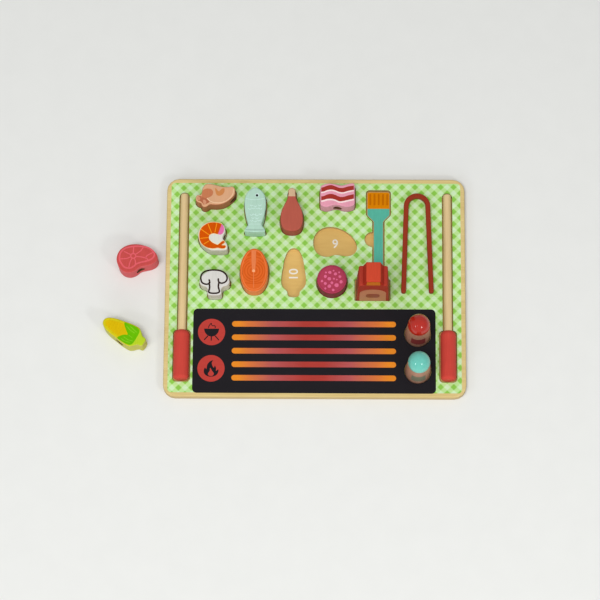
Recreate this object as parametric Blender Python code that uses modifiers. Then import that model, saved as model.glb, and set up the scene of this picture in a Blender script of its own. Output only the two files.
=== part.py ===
"""Toy barbecue grill: a wooden play tray with a printed grill, skewers, tongs, brush, sauces and food.

Metres, +Z up. The origin is the centre of the tray's underside, +X runs along the tray's long side
and +Y runs away from the grill, towards the row of meat and fish.
"""
import math

import bmesh
import bpy
from mathutils import Vector

# Tray: a plain base board under a top board whose wells are cut right through
tray_width = 0.300
tray_depth = 0.225
tray_thickness = 0.010
base_thickness = 0.005
tray_corner_radius = 0.012
tray_edge_round = 0.0015
seat_gap = 0.0003
well_clearance = 0.0012
cut_overrun = 0.002

# Printed sheets, let into the top board inside a bare wooden rim
rim_width = 0.0045
print_thickness = 0.0008
print_corner_radius = 0.0035
grill_corner_radius = 0.0045
grill_depth_share = 0.3778
grill_left_gap = 0.0021
grill_right_gap = 0.0039
bar_count = 5
bar_end_margin = 0.0387
bar_width = 0.0057
bar_pitch = 0.0137
bars_near_shift = 0.0005
badge_radius = 0.0135
badge_spacing = 0.0370
badge_margin = 0.0184

# Skewers: a dowel glued into a turned handle
skewer_side_gap = 0.0041
skewer_far_gap = 0.0111
skewer_near_gap = 0.0116
rod_diameter = 0.0080
rod_tip_round = 0.0014
handle_diameter = 0.0155
handle_length = 0.0505
handle_taper = 0.0040
handle_neck_wall = 0.0015
handle_butt_round = 0.0035
handle_well_round = 0.0040
socket_depth = 0.0200
socket_clearance = 0.0003

# Tongs: one springy strip, bent into an arch with two legs
tongs_far_gap = 0.0115
tongs_near_gap = 0.0151
strip_width = 0.0049
strip_height = 0.0060
arch_radius = 0.0133
leg_splay = 0.0030
tongs_hinge_gap = 0.0003

# Basting brush: a flat cut-out, with a finger notch beside its handle
brush_far_gap = 0.0088
brush_near_gap = 0.0029
brush_thickness = 0.0050
brush_head_width = 0.0229
brush_head_length = 0.0246
brush_shoulder_length = 0.0065
brush_handle_width = 0.0100
brush_corner_radius = 0.0025
notch_radius = 0.0078
notch_place_share = -0.10

# Sauce bottle: a flat block sawn to a bottle's outline
bottle_near_gap = 0.0087
bottle_width = 0.0335
bottle_depth = 0.0200
bottle_height = 0.0787
bottle_shoulder_width = 0.0282
bottle_cap_height = 0.0140
bottle_neck_width = 0.0206
bottle_cap_width = 0.0140
bottle_corner_radius = 0.0025
bottle_cap_corner_radius = 0.0012
bottle_edge_round = 0.0010
brush_edge_round = 0.0008

# Shakers: a tapered turned body with a domed cap on a peg
shaker_margin = 0.0172
shaker_spacing = 0.0373
shaker_drop_share = -0.035
shaker_base_diameter = 0.0256
shaker_top_diameter = 0.0216
shaker_body_height = 0.0427
shaker_base_round = 0.0010
dome_diameter = 0.0218
peg_diameter = 0.0080
peg_length = 0.0100
peg_clearance = 0.0003

# Food: wooden slices, each drilled for a skewer
food_thickness = 0.0220
food_edge_round = 0.0012
skewer_hole_clearance = 0.0005
mushroom_hole_share = 0.25
pork_chop_width = 0.0394
pork_chop_depth = 0.0245
fish_width = 0.0214
fish_depth = 0.0463
drumstick_width = 0.0228
drumstick_depth = 0.0450
bacon_width = 0.0347
bacon_depth = 0.0248
shrimp_width = 0.0297
shrimp_depth = 0.0300
mushroom_width = 0.0300
mushroom_depth = 0.0266
salmon_width = 0.0278
salmon_depth = 0.0439
salami_diameter = 0.0297
steak_width = 0.0417
steak_depth = 0.0288
corn_width = 0.0224
corn_depth = 0.0490

# The steak and the corn lie beside the tray, on the surface that the tray lies on
steak_turn = math.radians(18)
corn_turn = math.radians(61)
steak_floor_gap = 0.0075
steak_floor_share = 0.246
corn_floor_gap = 0.0143
corn_floor_share = -0.439

# Mesh resolution
outline_steps = 2
corner_steps = 4
rod_sides = 16
turned_sides = 24
hole_sides = 16
arch_steps = 12
dome_steps = 6
rim_steps = 2
soft_steps = 1
soft_profile_share = 0.5
sharp_angle = math.radians(50)

# Food outlines, as shares of half the width and half the depth, seen from above.
# The half outlines run down the right-hand side and are mirrored.
pork_chop_outline_shares = [
    (1.00, 0.33), (0.98, 0.59), (0.86, 0.77), (0.63, 0.74), (0.32, 0.77), (-0.03, 0.91), (-0.34, 1.00),
    (-0.54, 0.91), (-0.66, 0.63), (-0.69, 0.32), (-0.76, 0.07), (-0.92, 0.03), (-1.00, -0.15),
    (-0.99, -0.43), (-0.87, -0.61), (-0.74, -0.68), (-0.68, -0.90), (-0.56, -1.00), (-0.42, -0.94),
    (-0.27, -0.78), (0.03, -0.80), (0.34, -0.73), (0.62, -0.51), (0.84, -0.20), (0.97, 0.06)]
bacon_outline_shares = [
    (0.99, -0.11), (0.99, 0.36), (0.98, 0.87), (0.86, 1.00), (0.55, 0.92), (0.23, 0.81), (-0.15, 0.91),
    (-0.46, 0.98), (-0.78, 0.89), (-0.96, 0.75), (-1.00, 0.36), (-1.00, -0.27), (-0.99, -0.77),
    (-0.89, -0.92), (-0.61, -1.00), (-0.29, -0.87), (-0.03, -0.83), (0.26, -0.93), (0.55, -1.00),
    (0.86, -0.91), (0.99, -0.70)]
shrimp_outline_shares = [
    (-0.41, 0.93), (-0.72, 0.73), (-0.92, 0.46), (-1.00, 0.15), (-0.95, -0.19), (-0.79, -0.50),
    (-0.51, -0.76), (-0.18, -0.96), (0.29, -1.00), (0.73, -0.99), (0.96, -0.93), (1.00, -0.70),
    (0.91, -0.46), (0.75, -0.29), (0.67, -0.12), (0.72, 0.06), (0.81, 0.26), (0.82, 0.50), (0.69, 0.76),
    (0.40, 0.93), (-0.01, 1.00)]
steak_outline_shares = [
    (0.99, -0.30), (0.87, 0.14), (0.62, 0.53), (0.28, 0.83), (-0.09, 0.99), (-0.45, 0.97), (-0.75, 0.76),
    (-0.95, 0.37), (-1.00, -0.06), (-0.95, -0.50), (-0.79, -0.82), (-0.54, -0.99), (-0.27, -0.98),
    (0.00, -0.86), (0.28, -0.91), (0.55, -0.96), (0.80, -0.87), (0.96, -0.64)]
fish_half_shares = [
    (0.00, 1.00), (0.56, 0.86), (0.90, 0.62), (1.00, 0.31), (0.92, -0.11), (0.75, -0.45), (0.62, -0.66),
    (0.80, -0.79), (0.95, -0.91), (0.82, -0.98), (0.00, -1.00)]
drumstick_half_shares = [
    (0.00, 1.00), (0.30, 0.91), (0.32, 0.72), (0.42, 0.47), (0.66, 0.22), (0.88, -0.04), (0.99, -0.32),
    (0.97, -0.58), (0.80, -0.84), (0.45, -0.97), (0.00, -1.00)]
mushroom_half_shares = [
    (0.00, 1.00), (0.50, 0.84), (0.88, 0.49), (1.00, 0.09), (0.87, -0.20), (0.57, -0.34), (0.46, -0.53),
    (0.47, -0.80), (0.36, -0.97), (0.00, -1.00)]
salmon_half_shares = [
    (0.00, 1.00), (0.45, 0.89), (0.76, 0.62), (0.96, 0.27), (1.00, -0.08), (0.92, -0.47), (0.69, -0.78),
    (0.37, -0.96), (0.00, -1.00)]
corn_half_shares = [
    (0.00, 1.00), (0.36, 0.93), (0.62, 0.72), (0.77, 0.47), (0.85, 0.23), (0.95, -0.03), (1.00, -0.28),
    (0.98, -0.47), (0.82, -0.60), (0.60, -0.70), (0.46, -0.78), (0.43, -0.90), (0.26, -0.97)]

# Rows of pieces from left to right, the far one between the two skewers and the near one between the left
# skewer and the bottle, and columns from the grill's far edge to the print's. Each piece has a share of the
# spare room before it. The shrimp and the steak lie between two others and the bottle below the brush, with
# shifts given as shares of their own widths.
far_row = ("pork_chop", "fish", "drumstick", "bacon", "brush", "tongs")
far_row_gap_shares = (0.1001, 0.1138, 0.1770, 0.2061, 0.1491, 0.1327)
near_row = ("mushroom", "salmon_steak", "corn_cob", "salami")
near_row_gap_shares = (0.2283, 0.1738, 0.2376, 0.2095)
columns = (("mushroom", "shrimp", "pork_chop"), ("salmon_steak", "fish"), ("corn_cob", "drumstick"),
           ("salami", "beef_steak", "bacon"))
column_gap_shares = ((0.1886, 0.3980, 0.3018), (0.3433, 0.4291), (0.3214, 0.4162), (0.2399, 0.2792, 0.3854))
bottle_shift_share = -0.1776
shrimp_shift_share = -0.0728
steak_shift_share = 0.0096

colours = {
    "wood": (0.84, 0.74, 0.54),
    "gingham": (0.69, 0.86, 0.54),
    "black": (0.13, 0.13, 0.14),
    "glow": (0.86, 0.45, 0.22),
    "badge": (0.75, 0.26, 0.23),
    "dowel": (0.83, 0.71, 0.52),
    "red_paint": (0.80, 0.27, 0.23),
    "tongs": (0.64, 0.20, 0.15),
    "brush": (0.31, 0.68, 0.60),
    "bottle": (0.72, 0.26, 0.18),
    "shaker": (0.65, 0.50, 0.38),
    "red_cap": (0.74, 0.20, 0.16),
    "teal_cap": (0.44, 0.79, 0.73),
    "pork_chop": (0.86, 0.66, 0.52),
    "fish": (0.68, 0.84, 0.79),
    "drumstick": (0.70, 0.34, 0.29),
    "bacon": (0.90, 0.62, 0.70),
    "shrimp": (0.86, 0.50, 0.28),
    "mushroom": (0.88, 0.88, 0.85),
    "salmon_steak": (0.92, 0.45, 0.21),
    "salami": (0.69, 0.24, 0.32),
    "beef_steak": (0.81, 0.32, 0.31),
    "corn_cob": (0.82, 0.75, 0.15),
}


def linear(channel):
    """Linear value of a display colour channel."""
    return channel / 12.92 if channel <= 0.04045 else ((channel + 0.055) / 1.055) ** 2.4


def material(node_name, colour_name, roughness=0.45):
    """Painted or bare wood in one colour."""
    made = bpy.data.materials.new(node_name)
    made.use_nodes = True
    shader = made.node_tree.nodes["Principled BSDF"]
    shader.inputs["Base Color"].default_value = [linear(c) for c in colours[colour_name]] + [1.0]
    shader.inputs["Roughness"].default_value = roughness
    shader.inputs["Metallic"].default_value = 0.0
    return made


def counterclockwise(outline):
    """The same outline, turned round if it runs clockwise."""
    turned_area = sum(a.x * b.y - b.x * a.y for a, b in zip(outline, outline[1:] + outline[:1]))
    return outline if turned_area > 0 else outline[::-1]


def mirrored(half_shares):
    """Whole outline from the points of its right-hand side, top to bottom."""
    left_shares = [(-x, y) for x, y in reversed(half_shares) if x > 0]
    return half_shares + left_shares


def smooth_outline(outline_shares, width, depth):
    """Smooth closed curve through points given as shares of half the width and half the depth."""
    knots = [Vector((x * width / 2, y * depth / 2)) for x, y in outline_shares]
    outline = []
    for index in range(len(knots)):
        before, start, end, after = (knots[(index + step - 1) % len(knots)] for step in range(4))
        for step in range(outline_steps):
            t = step / outline_steps
            outline.append(0.5 * (2 * start + (end - before) * t
                                  + (2 * before - 5 * start + 4 * end - after) * t ** 2
                                  + (3 * start - before - 3 * end + after) * t ** 3))
    return counterclockwise(outline)


def rounded_outline(corners, radii):
    """Polygon whose corners are arcs; a corner with radius 0 stays sharp."""
    outline = []
    for index, (corner, radius) in enumerate(zip(corners, radii)):
        corner = Vector(corner)
        if radius == 0:
            outline.append(corner)
            continue
        before = (Vector(corners[index - 1]) - corner).normalized()
        after = (Vector(corners[(index + 1) % len(corners)]) - corner).normalized()
        half_angle = before.angle(after) / 2
        centre = corner + (before + after).normalized() * radius / math.sin(half_angle)
        start = corner + before * radius / math.tan(half_angle) - centre
        sweep = math.copysign(math.pi - 2 * half_angle, -before.cross(after))
        for step in range(corner_steps + 1):
            turn = sweep * step / corner_steps
            outline.append(centre + Vector((start.x * math.cos(turn) - start.y * math.sin(turn),
                                            start.x * math.sin(turn) + start.y * math.cos(turn))))
    return counterclockwise(outline)


def rectangle(width, depth, radius, centre=(0, 0)):
    """Rounded rectangle."""
    right, top = width / 2, depth / 2
    corners = [(-right, -top), (right, -top), (right, top), (-right, top)]
    return moved(rounded_outline(corners, [radius] * len(corners)), centre)


def circle(diameter, sides, centre=(0, 0)):
    """Circle with its first point on the +X side."""
    turns = [2 * math.pi * side / sides for side in range(sides)]
    return moved([Vector((math.cos(turn), math.sin(turn))) * diameter / 2 for turn in turns], centre)


def moved(outline, centre):
    """Outline shifted to a centre."""
    return [point + Vector(centre) for point in outline]


def grown(outline, margin):
    """Outline pushed out by a margin all round."""
    pushed = []
    for index, point in enumerate(outline):
        before = (point - outline[index - 1]).normalized()
        after = (outline[(index + 1) % len(outline)] - point).normalized()
        normals = Vector((before.y + after.y, -before.x - after.x))
        pushed.append(point + normals * margin / (1 + before.dot(after)))
    return pushed


def spread(start, end, names, sizes, gap_shares):
    """Centre of each piece in a line between two edges, with its share of the spare room before it."""
    spare = end - start - sum(sizes[name] for name in names)
    centres = {}
    edge = start
    for name, gap_share in zip(names, gap_shares):
        edge += spare * gap_share
        centres[name] = edge + sizes[name] / 2
        edge += sizes[name]
    return centres


def new_object(name, mesh, collection, made_material=None):
    """Object with a mesh, linked to a collection."""
    made = bpy.data.objects.new(name, mesh)
    collection.objects.link(made)
    if made_material:
        mesh.materials.append(made_material)
    return made


def as_cutter(made):
    """Hide a cutting solid from the finished part."""
    made.hide_render = True
    made.display_type = "WIRE"
    return made


def cut(made, cutter):
    """Take a cutting solid out of an object."""
    modifier = made.modifiers.new("cut", "BOOLEAN")
    modifier.operation = "DIFFERENCE"
    modifier.solver = "EXACT"
    modifier.object = cutter


def slab_mesh(name, outlines, thickness):
    """Flat outlines, extruded evenly about their plane."""
    curve = bpy.data.curves.new(name, "CURVE")
    curve.dimensions = "2D"
    curve.fill_mode = "BOTH"
    curve.extrude = thickness / 2
    for outline in outlines:
        spline = curve.splines.new("POLY")
        spline.points.add(len(outline) - 1)
        for spline_point, point in zip(spline.points, outline):
            spline_point.co = (point.x, point.y, 0, 1)
        spline.use_cyclic_u = True
    source = bpy.data.objects.new(name, curve)
    cutters.objects.link(source)
    evaluated = source.evaluated_get(bpy.context.evaluated_depsgraph_get())
    mesh = bpy.data.meshes.new_from_object(evaluated)
    bpy.data.objects.remove(source)
    shape = bmesh.new()
    shape.from_mesh(mesh)
    bmesh.ops.remove_doubles(shape, verts=shape.verts, dist=weld_distance)
    bmesh.ops.dissolve_limit(shape, angle_limit=flat_angle, verts=shape.verts, edges=shape.edges)
    bmesh.ops.recalc_face_normals(shape, faces=shape.faces)
    shape.to_mesh(mesh)
    shape.free()
    return mesh


def slab(name, outlines, bottom, top, collection, made_material=None, centre=(0, 0), turn=0.0):
    """Flat piece between two heights."""
    made = new_object(name, slab_mesh(name, outlines, top - bottom), collection, made_material)
    made.location = (centre[0], centre[1], (bottom + top) / 2)
    made.rotation_euler = (0, 0, turn)
    return made


def soften(made, width):
    """Round the sharp edges over."""
    modifier = made.modifiers.new("soften", "BEVEL")
    modifier.width = width
    modifier.segments = soft_steps
    modifier.limit_method = "ANGLE"
    modifier.angle_limit = sharp_angle


def turned(name, profile, sides, collection, made_material):
    """Solid turned about Z from a profile that runs down its outer side."""
    mesh = bpy.data.meshes.new(name)
    mesh.from_pydata([(x, 0, z) for x, z in profile],
                     [(index, index + 1) for index in range(len(profile) - 1)], [])
    made = new_object(name, mesh, collection, made_material)
    modifier = made.modifiers.new("turn", "SCREW")
    modifier.axis = "Z"
    modifier.steps = sides
    modifier.render_steps = sides
    modifier.use_merge_vertices = True
    modifier.merge_threshold = weld_distance
    modifier.use_smooth_shade = True
    return made


def round_edge(x_inner, z_outer, radius, start, end, steps):
    """Points of an arc about a centre in the profile plane, between two angles."""
    angles = [start + (end - start) * step / steps for step in range(steps + 1)]
    return [(x_inner + radius * math.cos(angle), z_outer + radius * math.sin(angle)) for angle in angles]


for old in list(bpy.data.objects):
    bpy.data.objects.remove(old)
parts = bpy.data.collections.new("toy_barbecue_grill")
cutters = bpy.data.collections.new("cutters")
for collection in (parts, cutters):
    bpy.context.scene.collection.children.link(collection)

weld_distance = 0.00001
flat_angle = math.radians(0.1)
quarter = math.radians(90)

# Levels and edges that follow from the sizes
well_floor = base_thickness
rest_level = well_floor + seat_gap
print_top = tray_thickness
print_bottom = print_top - print_thickness
recess_floor = print_bottom - seat_gap
print_right = tray_width / 2 - rim_width - seat_gap
print_far = tray_depth / 2 - rim_width - seat_gap
handle_radius = handle_diameter / 2
rod_radius = rod_diameter / 2
skewer_hole_radius = rod_radius + skewer_hole_clearance
skewer_x = print_right - skewer_side_gap - well_clearance - handle_radius
skewer_y = skewer_near_gap - print_far + handle_length
rod_reach = print_far - skewer_far_gap - skewer_y
handle_well_inner = skewer_x - handle_radius - well_clearance
grill_left = grill_left_gap - handle_well_inner
grill_right = handle_well_inner - grill_right_gap
grill_width = grill_right - grill_left
grill_depth = grill_depth_share * tray_depth
grill_centre = ((grill_left + grill_right) / 2, grill_depth / 2 - print_far)
grill_far = grill_centre[1] + grill_depth / 2
bar_length = grill_width - 2 * bar_end_margin
bottle_y = grill_far + bottle_near_gap + bottle_depth / 2
bottle_shoulder_height = bottle_height - bottle_cap_height
brush_near_end = bottle_y + bottle_depth / 2 + brush_near_gap
brush_length = print_far - brush_far_gap - brush_near_end
brush_y = brush_near_end + brush_length / 2
tongs_y = print_far - tongs_far_gap - arch_radius
leg_length = tongs_y - grill_far - tongs_near_gap

# Each food's outline, width, depth, the way its skewer hole runs, and the hole's shift along its depth
foods = {
    "pork_chop": (pork_chop_outline_shares, pork_chop_width, pork_chop_depth, "x", 0),
    "fish": (mirrored(fish_half_shares), fish_width, fish_depth, "x", 0),
    "drumstick": (mirrored(drumstick_half_shares), drumstick_width, drumstick_depth, "x", 0),
    "bacon": (bacon_outline_shares, bacon_width, bacon_depth, "y", 0),
    "shrimp": (shrimp_outline_shares, shrimp_width, shrimp_depth, "x", 0),
    "mushroom": (mirrored(mushroom_half_shares), mushroom_width, mushroom_depth, "x", mushroom_hole_share),
    "salmon_steak": (mirrored(salmon_half_shares), salmon_width, salmon_depth, "x", 0),
    "salami": (None, salami_diameter, salami_diameter, "x", 0),
    "beef_steak": (steak_outline_shares, steak_width, steak_depth, "y", 0),
    "corn_cob": (mirrored(corn_half_shares), corn_width, corn_depth, "x", 0),
}
beside_tray = {
    "beef_steak": ((-tray_width / 2 - steak_floor_gap - steak_width / 2, steak_floor_share * tray_depth / 2),
                   steak_turn),
    "corn_cob": ((-tray_width / 2 - corn_floor_gap - corn_depth / 2, corn_floor_share * tray_depth / 2),
                 corn_turn),
}


def well_places():
    """Centre of every piece that lies between the skewers."""
    widths = {name: food[1] for name, food in foods.items()}
    widths.update(brush=brush_head_width, tongs=2 * (arch_radius + leg_splay))
    depths = {name: food[2] for name, food in foods.items()}
    rod_edge = skewer_x - rod_radius
    across = spread(-rod_edge, rod_edge, far_row, widths, far_row_gap_shares)
    across["bottle"] = across["brush"] + bottle_shift_share * bottle_width
    bottle_edge = across["bottle"] - bottle_width / 2
    across.update(spread(-rod_edge, bottle_edge, near_row, widths, near_row_gap_shares))
    across["shrimp"] = (across["pork_chop"] + across["mushroom"]) / 2 + shrimp_shift_share * shrimp_width
    across["beef_steak"] = (across["bacon"] + across["salami"]) / 2 + steak_shift_share * steak_width
    along = {"brush": brush_y, "tongs": tongs_y, "bottle": bottle_y}
    for column, gap_shares in zip(columns, column_gap_shares):
        along.update(spread(grill_far, print_far, column, depths, gap_shares))
    return {name: (x, along[name]) for name, x in across.items()}


places = well_places()


def well_centre(name):
    """Centre of a piece's well; the piece lies a seat gap from its near wall."""
    x, y = places[name]
    return (x, y + well_clearance - seat_gap)


def food_outline(name):
    """Outline of one food piece about its own centre."""
    outline_shares, width, depth = foods[name][:3]
    if outline_shares is None:
        return circle(width, turned_sides)
    return smooth_outline(outline_shares, width, depth)


def brush_outline():
    """Brush seen from above, about the middle of its length."""
    end = brush_length / 2
    head_bottom = end - brush_head_length
    handle_top = head_bottom - brush_shoulder_length
    half_head, half_handle = brush_head_width / 2, brush_handle_width / 2
    right_side = [(half_head, end), (half_head, head_bottom), (half_handle, handle_top), (half_handle, -end)]
    corners = right_side + [(-x, y) for x, y in reversed(right_side)]
    return rounded_outline(corners, [brush_corner_radius] * len(corners))


def skewer_well_outline(side):
    """Channel for the rod and a wider pocket for the handle, in one outline."""
    half_rod = rod_radius + well_clearance
    half_handle = handle_radius + well_clearance
    right_side = [(half_rod, rod_reach + well_clearance), (half_rod, well_clearance),
                  (half_handle, well_clearance), (half_handle, -handle_length - well_clearance)]
    corners = right_side + [(-a, b) for a, b in reversed(right_side)]
    radii = [half_rod - seat_gap, 0, handle_well_round, handle_well_round]
    return moved(rounded_outline(corners, radii + radii[::-1]), (side * skewer_x, skewer_y))


def shaker_places():
    """Centres of the two shakers."""
    x = grill_right - shaker_margin
    y = grill_centre[1] + shaker_drop_share * grill_depth / 2
    return [(x, y + shaker_spacing / 2), (x, y - shaker_spacing / 2)]


def shaker_well_outlines():
    """Round wells of the two shakers."""
    diameter = shaker_base_diameter + 2 * well_clearance
    return [circle(diameter, turned_sides, place) for place in shaker_places()]


def well_outlines():
    """Every well but the shakers', as cut through the top board and the gingham sheet."""
    outlines = [moved(grown(food_outline(name), well_clearance), well_centre(name)) for name in foods]
    outlines += [skewer_well_outline(side) for side in (-1, 1)]
    outlines.append(moved(grown(brush_outline(), well_clearance), well_centre("brush")))
    outlines.append(rectangle(bottle_width + 2 * well_clearance, bottle_depth + 2 * well_clearance,
                              well_clearance, well_centre("bottle")))
    return outlines


def notch_place():
    """Centre of the finger notch, on the left edge of the brush's well."""
    x, y = places["brush"]
    return (x - brush_handle_width / 2 - well_clearance, y + notch_place_share * brush_length / 2)


def make_cutters():
    """Cutting solids for the wells, the finger notch and the printed sheets' recess."""
    low, high = -cut_overrun, tray_thickness + cut_overrun
    wells = as_cutter(slab("well_cutter", well_outlines(), low, high, cutters))
    shaker_wells = as_cutter(slab("shaker_well_cutter", shaker_well_outlines(), low, high, cutters))
    notch = as_cutter(slab("notch_cutter", [circle(2 * notch_radius, turned_sides, notch_place())],
                           low, high, cutters))
    recess_outline = rectangle(2 * (print_right + seat_gap), 2 * (print_far + seat_gap),
                               print_corner_radius + seat_gap)
    recess = as_cutter(slab("recess_cutter", [recess_outline], recess_floor, high, cutters))
    return wells, shaker_wells, notch, recess


def make_tray(wells, shaker_wells, notch, recess):
    """Base board, and the top board with its wells."""
    outline = rectangle(tray_width, tray_depth, tray_corner_radius)
    base = slab("base_panel", [outline], 0, base_thickness, parts, material("base_panel", "wood", 0.6))
    round_rim(base, -1)
    top = slab("top_panel", [outline], rest_level, tray_thickness, parts,
               material("top_panel", "wood", 0.6))
    round_rim(top, 1)
    for cutter in (recess, wells, shaker_wells, notch):
        cut(top, cutter)


def round_rim(board, side):
    """Round over a board's outer edge on its upper (side 1) or lower (side -1) face."""
    shape = bmesh.new()
    shape.from_mesh(board.data)
    rim = [edge for edge in shape.edges if all(vert.co.z * side > 0 for vert in edge.verts)]
    bmesh.ops.bevel(shape, geom=rim, offset=tray_edge_round, segments=rim_steps,
                    profile=soft_profile_share, affect="EDGES")
    shape.to_mesh(board.data)
    shape.free()


def gingham_outline():
    """The green sheet, which goes round three sides of the grill."""
    left, right, far = grill_left - seat_gap, grill_right + seat_gap, grill_far + seat_gap
    corners = [(-print_right, -print_far), (left, -print_far), (left, far), (right, far),
               (right, -print_far), (print_right, -print_far), (print_right, print_far),
               (-print_right, print_far)]
    outer, inner = print_corner_radius, grill_corner_radius + seat_gap
    radii = [outer, 0, inner, inner, 0, outer, outer, outer]
    return rounded_outline(corners, radii)


def badge_places():
    """Centres of the two round badges."""
    x = grill_left + badge_margin
    return [(x, grill_centre[1] + badge_spacing / 2), (x, grill_centre[1] - badge_spacing / 2)]


def bar_places():
    """Centres of the glowing bars, from the far one to the near one."""
    middle = (bar_count - 1) / 2
    y = grill_centre[1] - bars_near_shift
    return [(grill_centre[0], y + (middle - index) * bar_pitch) for index in range(bar_count)]


def make_prints(wells, shaker_wells, notch):
    """The gingham sheet, the black grill sheet, and the bars and badges let into it."""
    gingham = slab("gingham_sheet", [gingham_outline()], print_bottom, print_top, parts,
                   material("gingham_sheet", "gingham"))
    for cutter in (wells, notch):
        cut(gingham, cutter)
    grill = slab("grill_sheet", [rectangle(grill_width, grill_depth, grill_corner_radius, grill_centre)],
                 print_bottom, print_top, parts, material("grill_sheet", "black"))
    low, high = print_bottom - cut_overrun, print_top + cut_overrun
    slots = [rectangle(bar_length + 2 * seat_gap, bar_width + 2 * seat_gap, bar_width / 2, place)
             for place in bar_places()]
    slots += [circle(2 * (badge_radius + seat_gap), turned_sides, place) for place in badge_places()]
    slot_cutter = as_cutter(slab("slot_cutter", slots, low, high, cutters))
    for cutter in (slot_cutter, shaker_wells):
        cut(grill, cutter)
    for index, place in enumerate(bar_places()):
        name = f"grill_bar_{index + 1}"
        slab(name, [rectangle(bar_length, bar_width, bar_width / 2 - seat_gap)], print_bottom, print_top,
             parts, material(name, "glow"), place)
    for name, place in zip(("kettle_badge", "flame_badge"), badge_places()):
        slab(name, [circle(2 * badge_radius, turned_sides)], print_bottom, print_top, parts,
             material(name, "badge"), place)


def make_skewer(side_name, side):
    """A skewer that lies in its well, on its handle and on the tip of its rod."""
    tilt = math.atan((handle_radius - rod_radius) / (rod_reach - rod_tip_round + handle_taper))
    carrier = bpy.data.objects.new(f"skewer_{side_name}", None)
    parts.objects.link(carrier)
    height = rest_level + handle_radius * math.cos(tilt) - handle_taper * math.sin(tilt)
    carrier.location = (side * skewer_x, skewer_y, height)
    carrier.rotation_euler = (-quarter - tilt, 0, 0)
    rod_bottom = socket_clearance - socket_depth
    rod_profile = [(0, rod_reach), (rod_radius - rod_tip_round, rod_reach),
                   (rod_radius, rod_reach - rod_tip_round), (rod_radius, rod_bottom), (0, rod_bottom)]
    rod_name = f"skewer_{side_name}_rod"
    rod = turned(rod_name, rod_profile, rod_sides, parts, material(rod_name, "dowel", 0.6))
    bore = rod_radius / math.cos(math.pi / rod_sides) + socket_clearance
    butt = round_edge(handle_radius - handle_butt_round, handle_butt_round - handle_length,
                      handle_butt_round, 0, -quarter, rim_steps)
    neck_radius = rod_radius + handle_neck_wall
    handle_profile = [(0, -socket_depth), (bore, -socket_depth), (bore, 0), (neck_radius, 0),
                      (handle_radius, -handle_taper)] + butt + [(0, -handle_length)]
    handle_name = f"skewer_{side_name}_handle"
    handle = turned(handle_name, handle_profile, turned_sides, parts,
                    material(handle_name, "red_paint", 0.3))
    for piece in (rod, handle):
        piece.parent = carrier


def make_tongs():
    """Arch and two legs; each leg's pivot is on the inner edge of the strip, where the arch ends."""
    centre = places["tongs"]
    bottom = print_top + seat_gap
    top = bottom + strip_height
    splay = math.atan(leg_splay / leg_length)
    inner_radius = arch_radius - strip_width
    sweep = [splay + (math.pi - 2 * splay) * step / arch_steps for step in range(arch_steps + 1)]
    arch = [Vector((math.cos(turn), math.sin(turn))) * arch_radius for turn in sweep]
    arch += [Vector((math.cos(turn), math.sin(turn))) * inner_radius for turn in reversed(sweep)]
    slab("tongs_bow", [arch], bottom, top, parts, material("tongs_bow", "tongs", 0.35), centre)
    tip_radius = strip_width / 2 - seat_gap
    for side_name, side in (("left", -1), ("right", 1)):
        name = f"tongs_{side_name}_arm"
        outer = side * strip_width
        corners = [(0, -tongs_hinge_gap), (0, -leg_length), (outer, -leg_length), (outer, -tongs_hinge_gap)]
        leg = rounded_outline(corners, [0, tip_radius, tip_radius, 0])
        pivot = (centre[0] + side * inner_radius * math.cos(splay),
                 centre[1] + inner_radius * math.sin(splay))
        slab(name, [leg], bottom, top, parts, material(name, "tongs", 0.35), pivot, side * splay)


def make_brush():
    """Basting brush, flush in its well."""
    brush = slab("basting_brush", [brush_outline()], rest_level, rest_level + brush_thickness, parts,
                 material("basting_brush", "brush"), places["brush"])
    soften(brush, brush_edge_round)


def make_bottle():
    """Sauce bottle, standing in its well."""
    half_base, half_shoulder = bottle_width / 2, bottle_shoulder_width / 2
    right_side = [(half_base, 0), (half_shoulder, bottle_shoulder_height),
                  (bottle_neck_width / 2, bottle_shoulder_height), (bottle_cap_width / 2, bottle_height)]
    radii = [bottle_corner_radius, bottle_corner_radius, 0, bottle_cap_corner_radius]
    corners = right_side + [(-x, z) for x, z in reversed(right_side)]
    outline = rounded_outline(corners, radii + radii[::-1])
    bottle = new_object("sauce_bottle", slab_mesh("sauce_bottle", [outline], bottle_depth), parts,
                        material("sauce_bottle", "bottle", 0.35))
    x, y = places["bottle"]
    bottle.location = (x, y, rest_level)
    bottle.rotation_euler = (quarter, 0, 0)
    soften(bottle, bottle_edge_round)


def make_shaker(colour_name, place):
    """Turned shaker body with a bore in its top, and a domed cap whose peg sits in the bore."""
    base_radius, top_radius, dome_radius = (size / 2 for size in
                                            (shaker_base_diameter, shaker_top_diameter, dome_diameter))
    peg_radius = peg_diameter / 2
    bore_radius = peg_radius / math.cos(math.pi / turned_sides) + peg_clearance
    bore_floor = shaker_body_height - peg_length - peg_clearance
    body_profile = [(0, bore_floor), (bore_radius, bore_floor), (bore_radius, shaker_body_height),
                    (top_radius, shaker_body_height), (base_radius, shaker_base_round),
                    (base_radius - shaker_base_round, 0), (0, 0)]
    dome = round_edge(0, 0, dome_radius, quarter, 0, dome_steps)[1:]
    cap_profile = [(0, dome_radius)] + dome + [(peg_radius, 0), (peg_radius, -peg_length), (0, -peg_length)]
    body_name, cap_name = f"{colour_name}_shaker_body", f"{colour_name}_shaker_cap"
    body = turned(body_name, body_profile, turned_sides, parts, material(body_name, "shaker", 0.55))
    cap = turned(cap_name, cap_profile, turned_sides, parts, material(cap_name, f"{colour_name}_cap", 0.2))
    body.location = (place[0], place[1], rest_level)
    cap.parent = body
    cap.location = (0, 0, shaker_body_height + seat_gap)


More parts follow.
